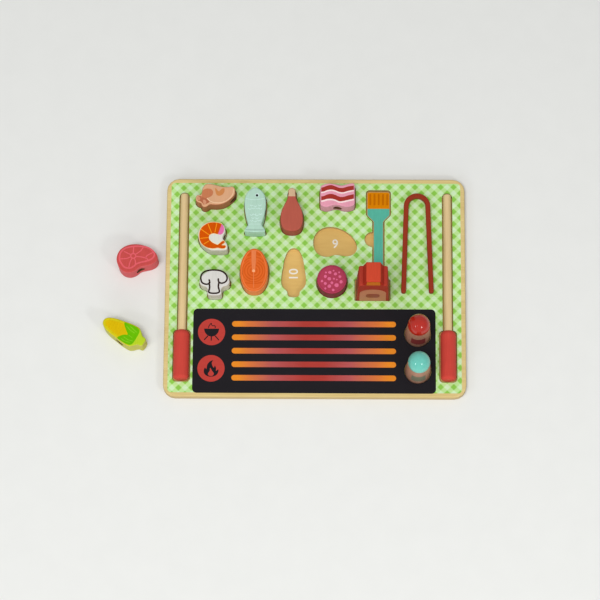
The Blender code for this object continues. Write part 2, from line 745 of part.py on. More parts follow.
def make_food(name):
    """One slice of food with its skewer hole at half its thickness."""
    width, depth, hole_axis, hole_share = foods[name][1:]
    place, turn, bottom = places[name], 0.0, rest_level
    if name in beside_tray:
        place, turn = beside_tray[name]
        bottom = 0
    food = slab(name, [food_outline(name)], bottom, bottom + food_thickness, parts,
                material(name, name), place, turn)
    soften(food, food_edge_round)
    hole = bpy.data.meshes.new(f"{name}_hole")
    shape = bmesh.new()
    bmesh.ops.create_cone(shape, cap_ends=True, segments=hole_sides, radius1=skewer_hole_radius,
                          radius2=skewer_hole_radius, depth=max(width, depth) + 2 * cut_overrun)
    shape.to_mesh(hole)
    shape.free()
    drill = as_cutter(new_object(f"{name}_drill", hole, cutters))
    drill.parent = food
    drill.location.y = hole_share * depth / 2
    drill.rotation_euler = (0, quarter, 0) if hole_axis == "x" else (quarter, 0, 0)
    cut(food, drill)


def make_part():
    """Everything, from the tray up."""
    wells, shaker_wells, notch, recess = make_cutters()
    make_tray(wells, shaker_wells, notch, recess)
    make_prints(wells, shaker_wells, notch)
    for side_name, side in (("left", -1), ("right", 1)):
        make_skewer(side_name, side)
    make_tongs()
    make_brush()
    make_bottle()
    for colour_name, place in zip(("red", "teal"), shaker_places()):
        make_shaker(colour_name, place)
    for name in foods:
        make_food(name)


make_part()
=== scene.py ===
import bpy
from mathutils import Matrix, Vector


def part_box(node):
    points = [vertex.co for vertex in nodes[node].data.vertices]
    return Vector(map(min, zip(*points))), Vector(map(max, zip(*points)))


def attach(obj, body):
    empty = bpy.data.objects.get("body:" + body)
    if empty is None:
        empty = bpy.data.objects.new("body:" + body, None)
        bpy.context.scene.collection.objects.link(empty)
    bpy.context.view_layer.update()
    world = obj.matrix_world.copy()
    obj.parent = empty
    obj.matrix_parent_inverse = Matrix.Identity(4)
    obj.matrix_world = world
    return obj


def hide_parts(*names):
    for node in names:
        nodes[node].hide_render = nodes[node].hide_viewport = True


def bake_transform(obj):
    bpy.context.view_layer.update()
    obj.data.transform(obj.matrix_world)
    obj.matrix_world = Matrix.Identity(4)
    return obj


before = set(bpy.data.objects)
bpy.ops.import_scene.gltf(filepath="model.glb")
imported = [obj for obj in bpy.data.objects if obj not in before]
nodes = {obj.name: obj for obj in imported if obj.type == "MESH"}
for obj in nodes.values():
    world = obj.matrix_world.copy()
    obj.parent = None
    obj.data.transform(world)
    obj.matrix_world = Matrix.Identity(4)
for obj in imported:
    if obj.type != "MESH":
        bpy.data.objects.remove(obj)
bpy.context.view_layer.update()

import math

import bmesh
import bpy
from mathutils import Matrix, Vector

# Lengths are in millimetres, and times MM in the scene's metres
MM = 0.001
EDGE_STEPS = 4
CORNER_STEPS = 6
OUTLINE_STEPS = 6
LINE_STEPS = 4
FLAT_LIP = 0.15
INK_RISE = 0.04
LAYER = 0.01
LINE_END_RISE = 0.004
WELD = 0.0005

# Places of the mix node's colour sockets
MIX_FACTOR, MIX_UNDER, MIX_OVER, MIX_RESULT = 0, 6, 7, 2

# Grain of painted wood, as features per metre in each direction
GRAIN_X = (90, 900, 900)
GRAIN_Y = (900, 90, 900)

scene = bpy.context.scene


# Colours

def rgb(red, green, blue):
    """Linear colour of a display colour given from 0 to 255."""
    channels = [c / 255 for c in (red, green, blue)]
    return (*(c / 12.92 if c <= 0.04045 else ((c + 0.055) / 1.055) ** 2.4 for c in channels), 1.0)


# Materials: values in a node tree, with arithmetic

class Field:
    """A value or a colour in a material's node tree."""

    def __init__(self, tree, socket):
        self.tree = tree
        self.socket = socket

    def math(self, operation, *others, clamp=False):
        node = self.tree.nodes.new("ShaderNodeMath")
        node.operation = operation
        node.use_clamp = clamp
        for value, socket in zip((self, *others), node.inputs):
            feed(self.tree, value, socket)
        return Field(self.tree, node.outputs[0])

    def __add__(self, other):
        return self.math("ADD", other)

    def __sub__(self, other):
        return self.math("SUBTRACT", other)

    def __mul__(self, other):
        return self.math("MULTIPLY", other)

    def abs(self):
        return self.math("ABSOLUTE")

    def above(self, level, softness):
        """1 above a level and 0 below it, with a soft step of a given width."""
        return self.math("MULTIPLY_ADD", 1 / softness, 0.5 - level / softness, clamp=True)

    def below(self, level, softness):
        """1 below a level and 0 above it."""
        return self.above(level, -softness)


def feed(tree, value, socket):
    """Link a field to a socket, or set the socket to a constant."""
    if isinstance(value, Field):
        tree.links.new(value.socket, socket)
    else:
        socket.default_value = value


class Look:
    """A material being made: its shader, and the piece's own coordinates in metres."""

    def __init__(self, name, specular=0.12, turn=0.0):
        self.material = bpy.data.materials.new(name)
        self.material.use_nodes = True
        self.tree = self.material.node_tree
        self.shader = self.tree.nodes["Principled BSDF"]
        self.shader.inputs["Specular IOR Level"].default_value = specular
        self.place = self.tree.nodes.new("ShaderNodeTexCoord").outputs["Object"]
        self.x, self.y, self.z = self.split(self.place)
        if turn:
            self.x, self.y = (self.x * math.cos(turn) + self.y * math.sin(turn),
                              self.y * math.cos(turn) - self.x * math.sin(turn))
        geometry = self.tree.nodes.new("ShaderNodeNewGeometry")
        self.far, self.up = self.split(geometry.outputs["Normal"])[1:]

    def split(self, vector):
        """The three parts of a vector."""
        node = self.tree.nodes.new("ShaderNodeSeparateXYZ")
        self.tree.links.new(vector, node.inputs[0])
        return [Field(self.tree, socket) for socket in node.outputs]

    def noise(self, per_metre, detail=2.0, roughness=0.55, shift=0.0):
        """Noise from 0 to 1, with as many features in each direction as per_metre says."""
        mapping = self.tree.nodes.new("ShaderNodeMapping")
        mapping.inputs["Location"].default_value = (shift, shift, shift)
        mapping.inputs["Scale"].default_value = per_metre
        self.tree.links.new(self.place, mapping.inputs["Vector"])
        texture = self.tree.nodes.new("ShaderNodeTexNoise")
        texture.inputs["Scale"].default_value = 1.0
        texture.inputs["Detail"].default_value = detail
        texture.inputs["Roughness"].default_value = roughness
        self.tree.links.new(mapping.outputs[0], texture.inputs["Vector"])
        return Field(self.tree, texture.outputs["Fac"])

    def mix(self, factor, under, over, blend="MIX"):
        """Colour between two others; each value is a field or a constant."""
        node = self.tree.nodes.new("ShaderNodeMix")
        node.data_type = "RGBA"
        node.blend_type = blend
        for value, place in ((factor, MIX_FACTOR), (under, MIX_UNDER), (over, MIX_OVER)):
            feed(self.tree, value, node.inputs[place])
        return Field(self.tree, node.outputs[MIX_RESULT])

    def ramp(self, field, stops):
        """Colour ramp along a value."""
        node = self.tree.nodes.new("ShaderNodeValToRGB")
        elements = node.color_ramp.elements
        while len(elements) < len(stops):
            elements.new(0.5)
        for element, (position, colour) in zip(elements, stops):
            element.position = position
            element.color = colour
        feed(self.tree, field, node.inputs[0])
        return Field(self.tree, node.outputs[0])

    def finish(self, colour, roughness, height=None, relief=0.0):
        """Wire the colour, the roughness and the relief to the shader."""
        feed(self.tree, colour, self.shader.inputs["Base Color"])
        feed(self.tree, roughness, self.shader.inputs["Roughness"])
        if height:
            bump = self.tree.nodes.new("ShaderNodeBump")
            bump.inputs["Distance"].default_value = relief * MM
            feed(self.tree, height, bump.inputs["Height"])
            self.tree.links.new(bump.outputs[0], self.shader.inputs["Normal"])
        return self.material


def painted(look, colour, roughness=0.42, grain=GRAIN_Y, relief=0.03):
    """Paint over wood: slightly uneven colour, and the grain just showing through."""
    cloud = look.noise((60, 60, 60))
    fibre = look.noise(grain, shift=3.0)
    speck = look.noise((2600, 2600, 2600), detail=1.0, shift=7.0)
    white = rgb(255, 255, 255)
    shade = look.mix(cloud.above(0.5, 0.9), rgb(238, 238, 238), white)
    streak = look.mix(fibre.above(0.55, 0.5), rgb(243, 243, 243), white)
    uneven = look.mix(1.0, look.mix(1.0, colour, shade, "MULTIPLY"), streak, "MULTIPLY")
    return look.finish(uneven, cloud * 0.12 + (roughness - 0.06), fibre * 0.7 + speck * 0.3, relief)


def plain_paint(name, colour, roughness=0.42, grain=GRAIN_Y, specular=0.12):
    """Paint of one colour, given from 0 to 255."""
    return painted(Look(name, specular), rgb(*colour), roughness, grain)


# Upright faces of the tray within these limits of x, of y and of their sum are the walls of its wells
WALL_LIMITS = (148, 110.5, 245)


def wood(name, pale, dark, per_metre, roughness=0.6, end=None, wall_shade=None, shift=0.0):
    """Bare sanded wood with its grain along one axis; end colours its sides, and the sides of wells that
    don't face the near side take the dark wall colour as painted shade.
    """
    look = Look(name, specular=0.2)
    slow = look.noise([p * 0.22 for p in per_metre], shift=shift + 11.0)
    fine = look.noise(per_metre, detail=4.0, roughness=0.6, shift=shift)
    pores = look.noise([p * 2.6 for p in per_metre], detail=1.0, shift=shift + 5.0)
    figure = (slow + fine) * 0.5
    colour = look.mix(figure.above(0.5, 0.42), rgb(*dark), rgb(*pale))
    colour = look.mix(pores.above(0.66, 0.16) * 0.28, colour, rgb(*dark))
    upright = look.up.abs().below(0.5, 0.3)
    if end:
        colour = look.mix(upright, colour, rgb(*end))
    # Painted shade: the wells' walls are painted dark, as if in the shadow of the narrow gaps round the
    # pieces, except those facing the near side, which keep the lit end colour
    if wall_shade:
        x, y = look.x.abs(), look.y.abs()
        inside = upright
        for reach, limit in zip((x, y, x + y), WALL_LIMITS):
            inside = inside * reach.below(limit * MM, 0.2 * MM)
        lit_facing_near = look.far.below(-0.35, 0.5)
        colour = look.mix(inside, colour, look.mix(lit_facing_near, rgb(*wall_shade), rgb(*end)))
    return look.finish(colour, fine * 0.15 + (roughness - 0.07), figure * 0.6 + pores * 0.4, 0.06)


# Shapes

def box_mm(name):
    """The two corners of a CAD node's box, then its centre and its half size."""
    low, high = (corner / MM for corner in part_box(name))
    return low, high, (low + high) / 2, (high - low) / 2


def pairs(ring):
    """Each item with the one that follows it, round a ring."""
    return zip(ring, ring[1:] + ring[:1])


def counterclockwise(outline):
    return outline if sum(a.x * b.y - b.x * a.y for a, b in pairs(outline)) > 0 else outline[::-1]


def spline(points, steps=OUTLINE_STEPS, closed=True):
    """Smooth curve through points."""
    knots = [Vector(p) for p in points]
    padded = knots[-1:] + knots + knots[:2] if closed else knots[:1] + knots + knots[-1:]
    curve = []
    for before, start, end, after in zip(padded, padded[1:], padded[2:], padded[3:]):
        for step in range(steps):
            t = step / steps
            slope = (end - before) * t
            bend = (2 * before - 5 * start + 4 * end - after) * t ** 2
            twist = (3 * start - before - 3 * end + after) * t ** 3
            curve.append(0.5 * (2 * start + slope + bend + twist))
    return curve if closed else curve + knots[-1:]


def extent(points):
    """The two corners of the box round some points."""
    return [Vector([pick(values) for values in zip(*points)]) for pick in (min, max)]


def mirrored(half):
    """Outline from its right half."""
    return half + [(-x, y) for x, y in reversed(half) if x > 0]


def rounded(corners, radii):
    """Polygon with rounded corners."""
    corners = [Vector(corner) for corner in corners]
    outline = []
    for previous, (corner, following), radius in zip(corners[-1:] + corners, pairs(corners), radii):
        before = (previous - corner).normalized()
        after = (following - corner).normalized()
        half_angle = before.angle(after) / 2
        centre = corner + (before + after).normalized() * radius / math.sin(half_angle)
        start = corner + before * radius / math.tan(half_angle) - centre
        sweep = math.copysign(math.pi - 2 * half_angle, -before.cross(after))
        for step in range(CORNER_STEPS + 1):
            outline.append(centre + Matrix.Rotation(sweep * step / CORNER_STEPS, 2) @ start)
    return counterclockwise(outline)


def box_outline(x0, y0, x1, y1, radius):
    return rounded([(x0, y0), (x1, y0), (x1, y1), (x0, y1)], [radius] * 4)


def arc(centre, width, height, start, sweep, steps):
    """Points on an arc of an ellipse with two half sizes; start and sweep are in degrees."""
    turns = [math.radians(start + sweep * step / steps) for step in range(steps + 1)]
    return [Vector((centre[0] + width * math.cos(t), centre[1] + height * math.sin(t))) for t in turns]


def circle(radius, sides=48, centre=(0, 0)):
    return arc(centre, radius, radius, 0, 360, sides)[:-1]


def grown(outline, margin):
    """Outline pushed out by a margin, or in if it is negative."""
    pushed = []
    for previous, (point, following) in zip(outline[-1:] + outline, pairs(outline)):
        before = (point - previous).normalized()
        after = (following - point).normalized()
        outwards = Vector((before.y + after.y, -before.x - after.x))
        pushed.append(point + outwards * margin / (1 + before.dot(after)))
    return pushed


def linked(name, data):
    """New object in the scene."""
    obj = bpy.data.objects.new(name, data)
    scene.collection.objects.link(obj)
    return obj


class Shape:
    """A mesh being made, in its piece's own frame."""

    def __init__(self):
        self.mesh = bmesh.new()

    def face(self, verts, material=0):
        made = self.mesh.faces.new(verts)
        made.material_index = material
        made.smooth = True

    def ring(self, outline, z):
        return [self.mesh.verts.new((p.x, p.y, z)) for p in outline]

    def band(self, low, high, material=0):
        """Walls between two rings of as many points each."""
        for (a, b), (d, c) in zip(pairs(low), pairs(high)):
            self.face((a, b, c, d), material)

    def skin(self, rings, material=0):
        """Walls between rings, and a lid at both ends."""
        for low, high in zip(rings, rings[1:]):
            self.band(low, high, material)
        self.face(rings[0][::-1], material)
        self.face(rings[-1], material)

    def prism(self, outline, low, high, edge):
        """Slab with rounded edges."""
        curve = arc((edge, edge), -edge, -edge, 90, -90, EDGE_STEPS)
        levels = [(edge + FLAT_LIP, 0), *curve, (0, edge + FLAT_LIP)]
        rings = [self.ring(grown(outline, -inset), low + rise) for inset, rise in levels]
        rings += [self.ring(grown(outline, -inset), high - rise) for inset, rise in reversed(levels)]
        self.skin(rings)

    def lathe(self, profile, sides):
        """Solid turned about Z from a profile that runs from its top to its foot on the axis."""
        top, foot = (self.mesh.verts.new((0, 0, z)) for z in (profile[0][1], profile[-1][1]))
        rings = [self.ring(circle(radius, sides), z) for radius, z in profile[1:-1]]
        for (a, b), (c, d) in zip(pairs(rings[0]), pairs(rings[-1])):
            self.face((top, a, b))
            self.face((foot, d, c))
        for high, low in zip(rings, rings[1:]):
            self.band(low, high)

    def patch(self, outline, z, material):
        """Flat area of ink."""
        self.face(self.ring(counterclockwise([Vector(p) for p in outline]), z), material)

    def piece(self, name, materials, location=(0, 0, 0), turn=0.0):
        """Turn the shape into an object."""
        bmesh.ops.remove_doubles(self.mesh, verts=self.mesh.verts, dist=WELD)
        data = bpy.data.meshes.new(name)
        self.mesh.to_mesh(data)
        self.mesh.free()
        data.transform(Matrix.Rotation(turn, 4, "Z") @ Matrix.Scale(MM, 4))
        for made in materials:
            data.materials.append(made)
        obj = linked(name, data)
        obj.location = Vector(location) * MM
        return obj


class Ink(Shape):
    """Print on a flat face, in layers that lie just over one another; paint 0 is the body's own."""

    def __init__(self, z, outline=None):
        super().__init__()
        self.z = z
        self.outline = outline
        self.origin = Vector((0, 0))

    def fill(self, outline, paint, layer=0):
        self.patch([Vector(p) + self.origin for p in outline], self.z + layer * LAYER, paint)

    def draw(self, line, width, paint, layer=0, closed=False):
        """A line; one that isn't closed has round ends."""
        z = self.z + layer * LAYER
        line = [Vector(p) + self.origin for p in line]
        first, last = (line[-1:], line[:1]) if closed else (line[:1], line[-1:])
        sides = []
        for before, point, after in zip(first + line, line, line[1:] + last):
            along = (after - before).normalized()
            across = Vector((-along.y, along.x)) * width / 2
            sides.append(self.ring((point + across, point - across), z))
        for (a, b), (c, d) in pairs(sides) if closed else zip(sides, sides[1:]):
            self.face((a, b, d, c), paint)
        if not closed:
            for point in (line[0], line[-1]):
                self.patch(circle(width / 2, 12, point), z + LINE_END_RISE, paint)

    def draw_all(self, lines, width, paint, layer=0):
        """Several lines, smoothed if they bend."""
        for line in lines:
            self.draw(spline(line, LINE_STEPS, False) if len(line) > 2 else line, width, paint, layer)


def drilled(obj, cutter):
    """Cut one object out of another."""
    modifier = obj.modifiers.new("cut", "BOOLEAN")
    modifier.operation = "DIFFERENCE"
    modifier.solver = "EXACT"
    modifier.object = cutter
    bpy.context.view_layer.update()
    graph = bpy.context.evaluated_depsgraph_get()
    obj.data = bpy.data.meshes.new_from_object(
        obj.evaluated_get(graph), preserve_all_data_layers=True, depsgraph=graph)
    obj.modifiers.clear()
    bpy.data.objects.remove(cutter)


def combine(obj, other):
    """Add another object's mesh to an object; both lie in one frame."""
    joined = bmesh.new()
    joined.from_mesh(obj.data)
    joined.from_mesh(other.data)
    joined.to_mesh(obj.data)
    joined.free()
    bpy.data.objects.remove(other)


def creased(obj, degrees=38):
    """Smooth shading with sharp edges where faces meet steeply."""
    obj.data.shade_smooth()
    obj.data.set_sharp_from_angle(angle=math.radians(degrees))


def placed(obj, body, slot, *replaced):
    """Ride on a body and stand for CAD nodes, which it hides; the slot is not used."""
    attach(obj, body)
    if replaced:
        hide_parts(*replaced)


# Food

# Outlines, in shares of half a food's own box
OUTLINE_SHARES = {
    "pork_chop": [
        (1, 0.33), (0.98, 0.59), (0.86, 0.77), (0.63, 0.74), (0.32, 0.77), (-0.03, 0.91), (-0.34, 1),
        (-0.54, 0.91), (-0.66, 0.63), (-0.69, 0.32), (-0.76, 0.07), (-0.92, 0.03), (-1, -0.15),
        (-0.99, -0.43), (-0.87, -0.61), (-0.74, -0.68), (-0.68, -0.9), (-0.56, -1), (-0.42, -0.94),
        (-0.27, -0.78), (0.03, -0.8), (0.34, -0.73), (0.62, -0.51), (0.84, -0.2), (0.97, 0.06)],
    "bacon": [
        (0.99, -0.11), (0.99, 0.36), (0.98, 0.87), (0.86, 1), (0.55, 0.92), (0.23, 0.81), (-0.15, 0.91),
        (-0.46, 0.98), (-0.78, 0.89), (-0.96, 0.75), (-1, 0.36), (-1, -0.27), (-0.99, -0.77),
        (-0.89, -0.92), (-0.61, -1), (-0.29, -0.87), (-0.03, -0.83), (0.26, -0.93), (0.55, -1),
        (0.86, -0.91), (0.99, -0.7)],
    "shrimp": [
        (-0.41, 0.93), (-0.72, 0.73), (-0.92, 0.46), (-1, 0.15), (-0.95, -0.19), (-0.79, -0.5),
        (-0.51, -0.76), (-0.18, -0.96), (0.29, -1), (0.73, -0.99), (0.96, -0.93), (1, -0.7), (0.91, -0.46),
        (0.75, -0.29), (0.67, -0.12), (0.72, 0.06), (0.81, 0.26), (0.82, 0.5), (0.69, 0.76), (0.4, 0.93),
        (-0.01, 1)],
    "beef_steak": [
        (0.99, -0.3), (0.87, 0.14), (0.62, 0.53), (0.28, 0.83), (-0.09, 0.99), (-0.45, 0.97), (-0.75, 0.76),
        (-0.95, 0.37), (-1, -0.06), (-0.95, -0.5), (-0.79, -0.82), (-0.54, -0.99), (-0.27, -0.97),
        (0, -0.83), (0.28, -0.85), (0.55, -0.88), (0.8, -0.8), (0.96, -0.59)],
    "fish": mirrored([
        (0, 1), (0.56, 0.86), (0.9, 0.62), (1, 0.31), (0.92, -0.11), (0.75, -0.45), (0.62, -0.66),
        (0.8, -0.79), (0.95, -0.91), (0.82, -0.98), (0, -1)]),
    "drumstick": mirrored([
        (0, 1), (0.3, 0.91), (0.32, 0.72), (0.42, 0.47), (0.66, 0.22), (0.88, -0.04), (0.99, -0.32),
        (0.97, -0.58), (0.8, -0.84), (0.45, -0.97), (0, -1)]),
    "mushroom": mirrored([
        (0, 1), (0.5, 0.84), (0.88, 0.49), (1, 0.09), (0.87, -0.2), (0.57, -0.34), (0.46, -0.53),
        (0.47, -0.8), (0.36, -0.97), (0, -1)]),
    "salmon_steak": mirrored([
        (0, 1), (0.45, 0.89), (0.76, 0.62), (0.96, 0.27), (1, -0.08), (0.92, -0.47), (0.69, -0.78),
        (0.37, -0.96), (0, -1)]),
    "corn_cob": mirrored([
        (0, 1), (0.36, 0.93), (0.62, 0.72), (0.77, 0.47), (0.85, 0.23), (0.95, -0.03), (1, -0.28),
        (0.98, -0.47), (0.82, -0.6), (0.6, -0.7), (0.46, -0.78), (0.43, -0.9), (0.26, -0.97)]),
}
TURNS = {"beef_steak": math.radians(18), "corn_cob": math.radians(61)}
LOOSE_FIT_SHARE = 0.97
HOLE_ALONG_Y = ("bacon", "beef_steak")
HOLE_SHIFT_SHARES = {"mushroom": 0.25}
HOLE_RADIUS = 4.5
FOOD_EDGE = 1.2

# Ends of faces in another colour, the bone and the husk: which way along Y, from where, and the colour
FACE_ENDS = {"drumstick": (1, 13.5, (216, 182, 146)), "corn_cob": (-1, 12.0, (190, 216, 44))}


def food_paint(name, top, face, side):
    """Painted slice: its face printed in one colour up to its rounded edge, and its sides in another, which
    also holds painted light and shade.
    """
    look = Look(name + "_paint", specular=0.02, turn=TURNS.get(name, 0.0))
    printed = rgb(*face)
    if name in FACE_ENDS:
        way, start, end = FACE_ENDS[name]
        printed = look.mix((look.y * way).above(start * MM, 0.15 * MM), printed, rgb(*end))
    face_depth, blur = 0.35, 0.12
    # The sides' colour is set lighter or darker than their paint, as painted light and shade
    on_face = look.z.above((top - face_depth) * MM, blur * MM)
    return painted(look, look.mix(on_face, rgb(*side), printed))


def own_box(name):
    """A food's centre on the tray, and its size and levels along its own axes."""
    turn = TURNS.get(name, 0.0)
    back = Matrix.Rotation(-turn, 3, "Z")
    low, high = extent([back @ vert.co / MM for vert in nodes[name].data.vertices])
    return Matrix.Rotation(turn, 3, "Z") @ ((low + high) / 2), high - low, low.z, high.z


def food_outline(name, size):
    """A food's outline about the centre of its own box."""
    if name == "salami":
        return circle(size.x / 2, 96)
    outline = counterclockwise(spline(OUTLINE_SHARES[name]))
    low, high = extent(outline)
    middle, reach = (low + high) / 2, high - low
    fit = LOOSE_FIT_SHARE if name in TURNS else 1.0
    return [Vector(((p.x - middle.x) * size.x / reach.x, (p.y - middle.y) * size.y / reach.y)) * fit
            for p in outline]


def drill(name, size, middle, place, turn, paints):
    """Cylinder that cuts a food's skewer hole, with bare wood painted dark as shade for the walls it leaves.
    """
    cutter = Shape()
    reach = max(size.x, size.y)
    cutter.skin([cutter.ring(circle(HOLE_RADIUS, 40), z) for z in (-reach, reach)], len(paints) - 1)
    obj = cutter.piece(f"{name}_drill", paints, place)
    axis = Matrix.Rotation(math.pi / 2, 4, "X" if name in HOLE_ALONG_Y else "Y")
    shift = Vector((0, HOLE_SHIFT_SHARES.get(name, 0.0) * size.y / 2, middle)) * MM
    obj.data.transform(Matrix.Rotation(turn, 4, "Z") @ Matrix.Translation(shift) @ axis)
    return obj


def make_food(name, art, face, side, inks, hole_shade_wood):
    """A slice of food with its hole and its printed face."""
    centre, size, low, high = own_box(name)
    turn = TURNS.get(name, 0.0)
    place = (centre.x, centre.y, 0)
    outline = food_outline(name, size)
    paints = [food_paint(name, high, face, side)]
    paints += [plain_paint(f"{name}_{ink}", colour, 0.36, specular=0.04) for ink, colour in inks.items()]
    paints.append(hole_shade_wood)
    shape = Shape()
    shape.prism(outline, low, high, FOOD_EDGE)
    obj = shape.piece(name + "_slice", paints, place, turn)
    drilled(obj, drill(name, size, (low + high) / 2, place, turn, paints))
    creased(obj)
    if art:
        ink = Ink(high + INK_RISE, outline)
        art(ink)
        combine(obj, ink.piece(name + "_ink", [], place, turn))
    placed(obj, name + "_piece", name, name)


def pork_chop_art(ink):
    muscle, knob_highlight, eye, brown, fat = range(1, 6)
    ink.fill(spline([
        (-16, -0.9), (-14, -1), (-10.1, -2.5), (-7.4, -3.7), (-5.5, -6), (-6.9, -7.8), (-9.8, -9.4),
        (-11.6, -9.8), (-13.4, -7.6), (-15.6, -6), (-17.3, -5.6), (-18, -3.4), (-17.6, -1.6)]), brown)
    # The two knobs are painted highlights, where the lobes of the bone end would catch the light
    ink.fill(spline([(-17.6, -1.9), (-16.2, -1.5), (-15.1, -3.3), (-16, -5), (-17.5, -4.7)]), knob_highlight, 1)
    ink.fill(spline([(-12.4, -5.2), (-10.4, -4.9), (-9, -6.9), (-9.8, -9.3), (-11.5, -9.5)]), knob_highlight, 1)
    ink.fill(spline([
        (-13, 4.3), (-11.1, 6.3), (-8, 7.1), (-4.5, 6.4), (-2.6, 4.4), (-2.5, 1.6), (-4, -0.8),
        (-7.1, -2.5), (-9.8, -2.9), (-12.5, -2.1), (-14.4, -2.3), (-13.6, -0.1), (-13.3, 1.9)]), muscle, 2)
    ink.fill(spline([
        (-0.5, 7.6), (0.8, 6.8), (3.2, 4.2), (5.4, 6), (7.3, 7.4), (9, 6.8), (8.9, 3.6), (7.1, 0.8),
        (4, -0.6), (1.3, 0.4), (0.1, 3.6)]), eye)
    ink.draw(spline([
        (18.2, 6.4), (17.4, 1.4), (14.9, -2.5), (10.7, -5.9), (5.3, -7.7), (-0.9, -7.6), (-5.1, -6),
        (-8.2, -3.3)], closed=False), 0.9, fat, 1)


def fish_art(ink):
    eye, halo, scale = range(1, 4)
    ink.fill(circle(2.1, 24, (1.9, 14.9)), halo)
    ink.fill(circle(1.3, 24, (1.8, 14.6)), eye, 1)
    for place in (
            (-3.6, 4.6), (0.2, 3.9), (4.8, 4.7), (-5.1, 1), (-1.7, 1.5), (2.2, 1.5), (5.6, 1.2),
            (-3.5, -5.3), (-0.4, -4.6), (1.9, -5.7), (5.4, -4.5), (-1.9, -8.5), (2, -8.7), (-3.4, -11.3),
            (0.2, -12.1), (4, -11)):
        ink.draw(arc(place, 1.3, 0.9, 180, 180, 8), 0.75, scale)
    gill = [(-9.2, 11.4), (-5.6, 10.6), (-0.1, 10), (5.1, 10.7), (9.2, 11.4)]
    ink.draw(spline(gill, closed=False), 0.6, scale)
    ink.draw([(-6.4, -15.3), (6.4, -15.3)], 0.5, scale)


def bacon_art(ink):
    lean, fat = 1, 2
    across = (-16.3, -13.6, -10.2, -6.2, -2.4, 1.6, 5.8, 10.8, 16.3)
    waves = (((7.4, 8.2, 9.6, 10.2, 9, 7.4, 7.4, 8.9, 9.7),
              (3.1, 3.5, 4.9, 5.5, 4.7, 3.1, 2.7, 4.2, 5.2), 1.5),
             ((-1.6, -1.2, 0.4, 1, 0, -1.8, -2.1, -0.5, 0.7),
              (-5.9, -5.3, -4.3, -4.1, -4.9, -6.7, -6.4, -5.2, -4), 1.7))
    for upper, lower, fat_width in waves:
        top, bottom = (spline(zip(across, level), LINE_STEPS, closed=False) for level in (upper, lower))
        ink.fill(top + bottom[::-1], lean)
        ink.fill(bottom + [point - Vector((0, fat_width)) for point in reversed(bottom)], fat, -1)


def shrimp_art(ink):
    flesh, line, tail, edge = range(1, 5)
    body = spline([
        (8.7, 12), (3.8, 13.7), (-0.9, 13.9), (-4.9, 13.2), (-9.2, 10.6), (-12.1, 7.3), (-13.4, 3.1),
        (-13.4, -1.9), (-12.4, -5.8), (-9.6, -9.6), (-5.2, -12.2), (-0.4, -13.1), (2.6, -12.9),
        (4.9, -12.4), (7.9, -13), (11.4, -13), (13.1, -11.3), (12.3, -9.9), (9.7, -9.8), (8.3, -9.4),
        (10.5, -8.2), (11.9, -6.7), (11, -5.2), (8.9, -5.9), (6.9, -7.7), (5, -9.2), (3.3, -8.8), (1, -7.7),
        (-1.3, -6.3), (-3.3, -4.1), (-4, -1.6), (-3.3, 0.8), (-1.1, 2.2), (1.6, 2.5), (5.4, 2),
        (7.2, 7)], LINE_STEPS)
    ink.draw(body, 1.0, edge, closed=True)
    ink.fill(body, flesh, 1)
    ink.fill(spline([
        (8.7, 12), (9.9, 10.8), (11, 8.3), (11.1, 5.9), (10.2, 3.1), (8.2, 1.4), (6.1, 1.3), (5.3, 2.1),
        (6.2, 5), (7.8, 9.4)]), tail, 2)
    ink.draw_all([
        [(-5, 12.2), (-1.3, 2.9)], [(3.7, 12.8), (2, 3.8)], [(-11.9, 6.8), (-3.9, 1.1)],
        [(-12.2, -2.7), (-4.6, -1.8)], [(-8.7, -8.5), (-3.9, -5.4)]], 0.9, line, 2)


def mushroom_art(ink):
    line, width = 1, 1.65
    ink.draw(spline([
        (-5.3, 2.4), (-4.7, -0.4), (-6.4, -1.8), (-9.2, -1.9), (-12.1, -0.5), (-13.4, 2.4), (-13.6, 5.7),
        (-12.3, 8.9), (-9, 11.4), (-4.8, 12.4), (-0.2, 12.6), (4.4, 12.2), (8.2, 10.8), (11.3, 8),
        (12.5, 4.4), (11.8, 1.7), (9.9, -0.1), (7, -0.9), (4.6, 0.1), (3.8, 2),
        (3.8, 3.4)], closed=False), width, line)
    ink.draw(spline([
        (-5.2, -0.4), (-4.7, -5.1), (-5.3, -8.2), (-5.6, -9.7), (-4.1, -10.9), (-0.5, -11.3), (3.2, -10.9),
        (5, -9.6), (4.7, -7.4), (3.9, -4.2), (4.5, 0.1)], closed=False), width, line, 1)


def salmon_art(ink):
    ring, band, bone, rim = range(1, 5)
    ink.draw(grown(ink.outline, -1.9), 0.9, rim, closed=True)
    centre = Vector((-0.4, -1.2))
    half_face, half_band = 11.2, 2.4
    for radius, width in ((3.3, 1.2), (6.2, 1.3), (9, 1.3), (11.3, 1)):
        turned = [p for p in arc(centre, radius, radius, -246, 312, 60) if abs(p.x) < half_face]
        ink.draw([p for p in turned if p.y <= 0 or abs(p.x - centre.x) > half_band], width, ring)
    ink.fill(spline([(-3.3, 18.6), (-3.3, 14.8), (-5.4, 13.6), (-7.2, 14.2), (-5.6, 16.8)]), ring)
    ink.fill(spline([(2.3, 18.8), (3.6, 18), (6.4, 15.9), (5.7, 14.2), (2.4, 15.2)]), ring)
    ink.draw_all([
        [(-3.3, 12.4), (-6.9, 10.8), (-9.4, 8.3)], [(2.2, 12.8), (6.3, 11.4), (9.2, 8.5)],
        [(-8.6, -13.4), (-4.8, -14), (-1, -14.2)], [(0.8, -14.2), (4.6, -13.8), (8.4, -12.9)]], 1.1, ring)
    ink.fill([(-2.7, 19.6), (1.8, 19.6), (1.8, 8.7), (1.2, 0), (-2, 0), (-2.6, 8.7)], band, 1)
    ink.draw([(-0.4, -3.1), (-0.2, -18.4)], 0.6, band, 1)
    ink.fill(circle(1.5, 24, centre), bone, 2)


